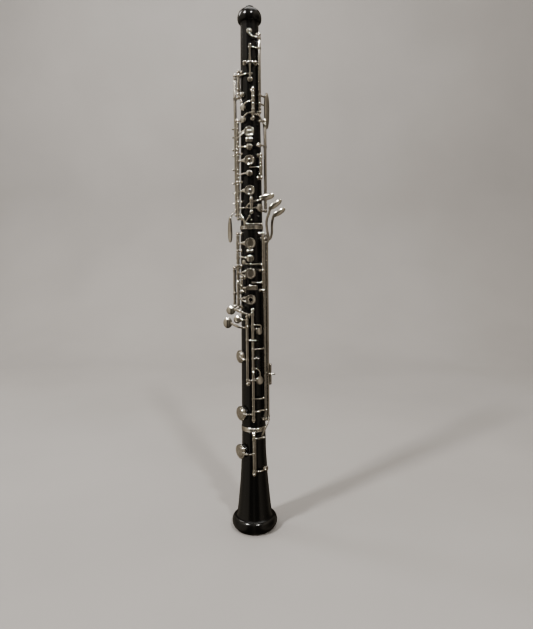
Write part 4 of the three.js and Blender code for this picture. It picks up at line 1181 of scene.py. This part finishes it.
def octave_rocker():
    metal, pads = Solid(), Solid()
    sleeve(metal, ROCKER_AT, ROCKER_ACROSS, (TUBE_BORE, 1.7), (-3.2, 3.2), corner=0.18)
    stations = [(14.5, 551.6), (14.1, 541), (13.9, 533.5), (13.9, 524), (13.9, 516.6)]
    arm(metal, 2.2, 1.3, [(ROCKER_ANGLE, radius, z) for radius, z in stations],
        taper=(1.1, 0.8, 1.3, 0.8, 1.1))
    cup(metal, pads, ROCKER_ANGLE, 516.2, 3.0)
    make("vis_octave_rocker", metal, KEY, "octave_rocker", body="octave_rocker")
    make("vis_pad_of_octave_rocker", pads, PAD, body="octave_rocker")


for key_name in KEYS:
    make_key(key_name)
octave_rocker()

# ---------------------------------------------------------------- studio, in metres
scene = bpy.context.scene


def studio_floor():
    """Paper sweep: a floor that curves up into a wall behind the oboe."""
    paper, tree, shader = new_material("studio_paper")
    mottle = texture(tree, scale=3, detail=3, roughness=0.5)
    colour = ramp(tree, mottle, [(0.3, (0.40, 0.385, 0.375)), (0.7, (0.435, 0.42, 0.41))])
    tree.links.new(colour, shader.inputs["Base Color"])
    shader.inputs["Roughness"].default_value = 0.9
    profile = [(-3.0, 0.0), (-1.0, 0.0), (0.6, 0.0)]  # (y, z)
    for k in range(13):
        turn = math.pi / 2 * k / 12
        profile.append((0.9 + 0.6 * math.sin(turn), 0.6 - 0.6 * math.cos(turn)))
    profile += [(1.5, 1.4), (1.5, 3.5)]
    verts = [(x, y, z) for y, z in profile for x in (-4, 4)]
    faces = [(2 * i, 2 * i + 1, 2 * i + 3, 2 * i + 2) for i in range(len(profile) - 1)]
    mesh = bpy.data.meshes.new("studio_floor")
    mesh.from_pydata(verts, [], faces)
    for polygon in mesh.polygons:
        polygon.use_smooth = True
    sweep = add_object("studio_floor", mesh)
    mesh.materials.append(paper)
    sweep.visible_glossy = False  # so that rims reflect a dark room


def studio_world():
    world = bpy.data.worlds.new("studio")
    scene.world = world
    world.use_nodes = True
    tree = world.node_tree
    tree.nodes.clear()
    output = tree.nodes.new("ShaderNodeOutputWorld")
    room = tree.nodes.new("ShaderNodeBackground")
    coords = tree.nodes.new("ShaderNodeTexCoord")
    axes = tree.nodes.new("ShaderNodeSeparateXYZ")
    tree.links.new(coords.outputs["Generated"], axes.inputs[0])

    def direction_ramp(axis, stops):
        """Colours along an axis, from -1 at position 0 to 1 at position 1."""
        spread = tree.nodes.new("ShaderNodeMapRange")
        spread.inputs["From Min"].default_value = -1
        spread.inputs["From Max"].default_value = 1
        tree.links.new(axes.outputs[axis], spread.inputs["Value"])
        return ramp(tree, spread.outputs[0], stops)

    height = direction_ramp("Z", [
        (0.0, (0.20, 0.19, 0.172)), (0.42, (0.37, 0.352, 0.322)), (0.56, (0.37, 0.355, 0.325)),
        (0.64, (0.36, 0.345, 0.315)), (0.76, (0.62, 0.60, 0.56)), (1.0, (0.85, 0.84, 0.82))])
    # a window's worth of pale light on each side
    side = direction_ramp("X", [
        (0.0, (1.5, 1.44, 1.35)), (0.09, (1.5, 1.42, 1.3)), (0.19, (1.6, 1.5, 1.36)),
        (0.25, (0.36, 0.33, 0.29)), (0.43, (0.34, 0.315, 0.28)), (0.475, (0.78, 0.745, 0.68)),
        (0.525, (0.78, 0.745, 0.68)), (0.57, (0.34, 0.315, 0.28)), (0.76, (0.32, 0.295, 0.26)),
        (0.82, (1.35, 1.26, 1.14)), (0.90, (1.2, 1.12, 1.02)), (1.0, (0.4, 0.375, 0.34))])
    colour = mix(tree, 1.0, height, side, "MULTIPLY")
    depth = direction_ramp("Y", [
        (0.0, (1.0, 1.0, 1.0)), (0.40, (1.05, 1.04, 1.02)), (0.56, (0.70, 0.68, 0.65)),
        (0.72, (0.64, 0.625, 0.60)), (0.86, (0.58, 0.565, 0.54)), (1.0, (0.55, 0.535, 0.51))])
    colour = mix(tree, 1.0, colour, depth, "MULTIPLY")
    tree.links.new(colour, room.inputs["Color"])
    room.inputs["Strength"].default_value = 0.8
    # seen directly, past the edge of the paper sweep, the room is plain pale grey
    plain_room = tree.nodes.new("ShaderNodeBackground")
    plain_room.inputs["Color"].default_value = (0.36, 0.348, 0.335, 1)
    plain_room.inputs["Strength"].default_value = 1.0
    path = tree.nodes.new("ShaderNodeLightPath")
    swap = tree.nodes.new("ShaderNodeMixShader")
    tree.links.new(path.outputs["Is Camera Ray"], swap.inputs["Fac"])
    tree.links.new(room.outputs[0], swap.inputs[1])
    tree.links.new(plain_room.outputs[0], swap.inputs[2])
    tree.links.new(swap.outputs[0], output.inputs["Surface"])


def area(name, location, target, size, power, colour, size_y=None):
    """An area lamp aimed at target, square unless size_y is given."""
    light = bpy.data.lights.new(name, "AREA")
    light.shape = "RECTANGLE" if size_y else "SQUARE"
    light.size = size
    if size_y:
        light.size_y = size_y
    light.energy = power
    light.color = colour
    lamp = add_object(name, light)
    lamp.location = location
    aim = Vector(target) - Vector(location)
    lamp.rotation_euler = aim.to_track_quat("-Z", "Y").to_euler()
    return lamp


def lamps():
    middle = (0, 0, 0.3)
    key_at, second_at = (-1.13, -1.09, 1.88), (0.64, -1.44, 1.88)
    area("key_lamp", key_at, middle, size=0.2, size_y=0.28, power=30, colour=(1.0, 0.985, 0.96))
    area("second_lamp", second_at, middle, size=0.14, size_y=0.2, power=17,
         colour=(1.0, 0.98, 0.95))
    area("top_light", (0.1, 0.35, 2.1), (0, 0.4, 0.2), size=1.4, power=11, colour=(1, 0.99, 0.97))
    area("backdrop_light", (-0.9, 0.35, 1.3), (0.1, 1.5, 0.5), size=0.5, power=5,
         colour=(1, 0.985, 0.96))
    # small hard lamps for the plated metal alone: they put a glint on each ball and edge
    metal = bpy.data.collections.new("metal_pieces")
    for obj in list(scene.objects):
        if obj.type == "MESH" and any(material in (KEY, RING, POST, STEEL)
                                      for material in obj.data.materials[:]):
            metal.objects.link(obj)
    glints = ((key_at, 18), (second_at, 14), ((-0.3, -1.5, 2.0), 13), ((1.25, -0.85, 1.95), 12))
    for k, (location, power) in enumerate(glints):
        lamp = area("glint_lamp_%d" % k, location, middle, size=0.2, power=power,
                    colour=(1.0, 0.985, 0.955))
        lamp.visible_diffuse = False
        lamp.light_linking.receiver_collection = metal


def camera():
    azimuth, distance, height = 4.0, 0.5787, 0.3201  # place round the oboe's axis
    pitch, yaw, roll = 6.1, 1.6, -0.45  # degrees: downwards, off the axis, about the view
    lens = bpy.data.cameras.new("camera")
    lens.sensor_fit = "VERTICAL"
    lens.sensor_height = 36
    lens.lens = 28.6168521
    lens.clip_start, lens.clip_end = 0.01, 20
    obj = add_object("camera", lens)
    obj.location = (distance * math.sin(rad(azimuth)) + AXIS_X,
                    -distance * math.cos(rad(azimuth)) + AXIS_Y, height)
    forward = Matrix.Rotation(rad(-yaw), 3, "Z") @ -out(azimuth)
    forward = (forward * math.cos(rad(pitch)) - UP * math.sin(rad(pitch))).normalized()
    right = forward.cross(UP).normalized()
    upward = right.cross(forward).normalized()
    facing = Matrix((right, upward, -forward)).transposed()
    obj.rotation_euler = (facing @ Matrix.Rotation(rad(roll), 3, "Z")).to_euler()
    scene.camera = obj


studio_floor()
studio_world()
lamps()
camera()
scene.view_settings.view_transform = "AgX"
scene.view_settings.look = "AgX - Medium High Contrast"
scene.view_settings.exposure = 0.0
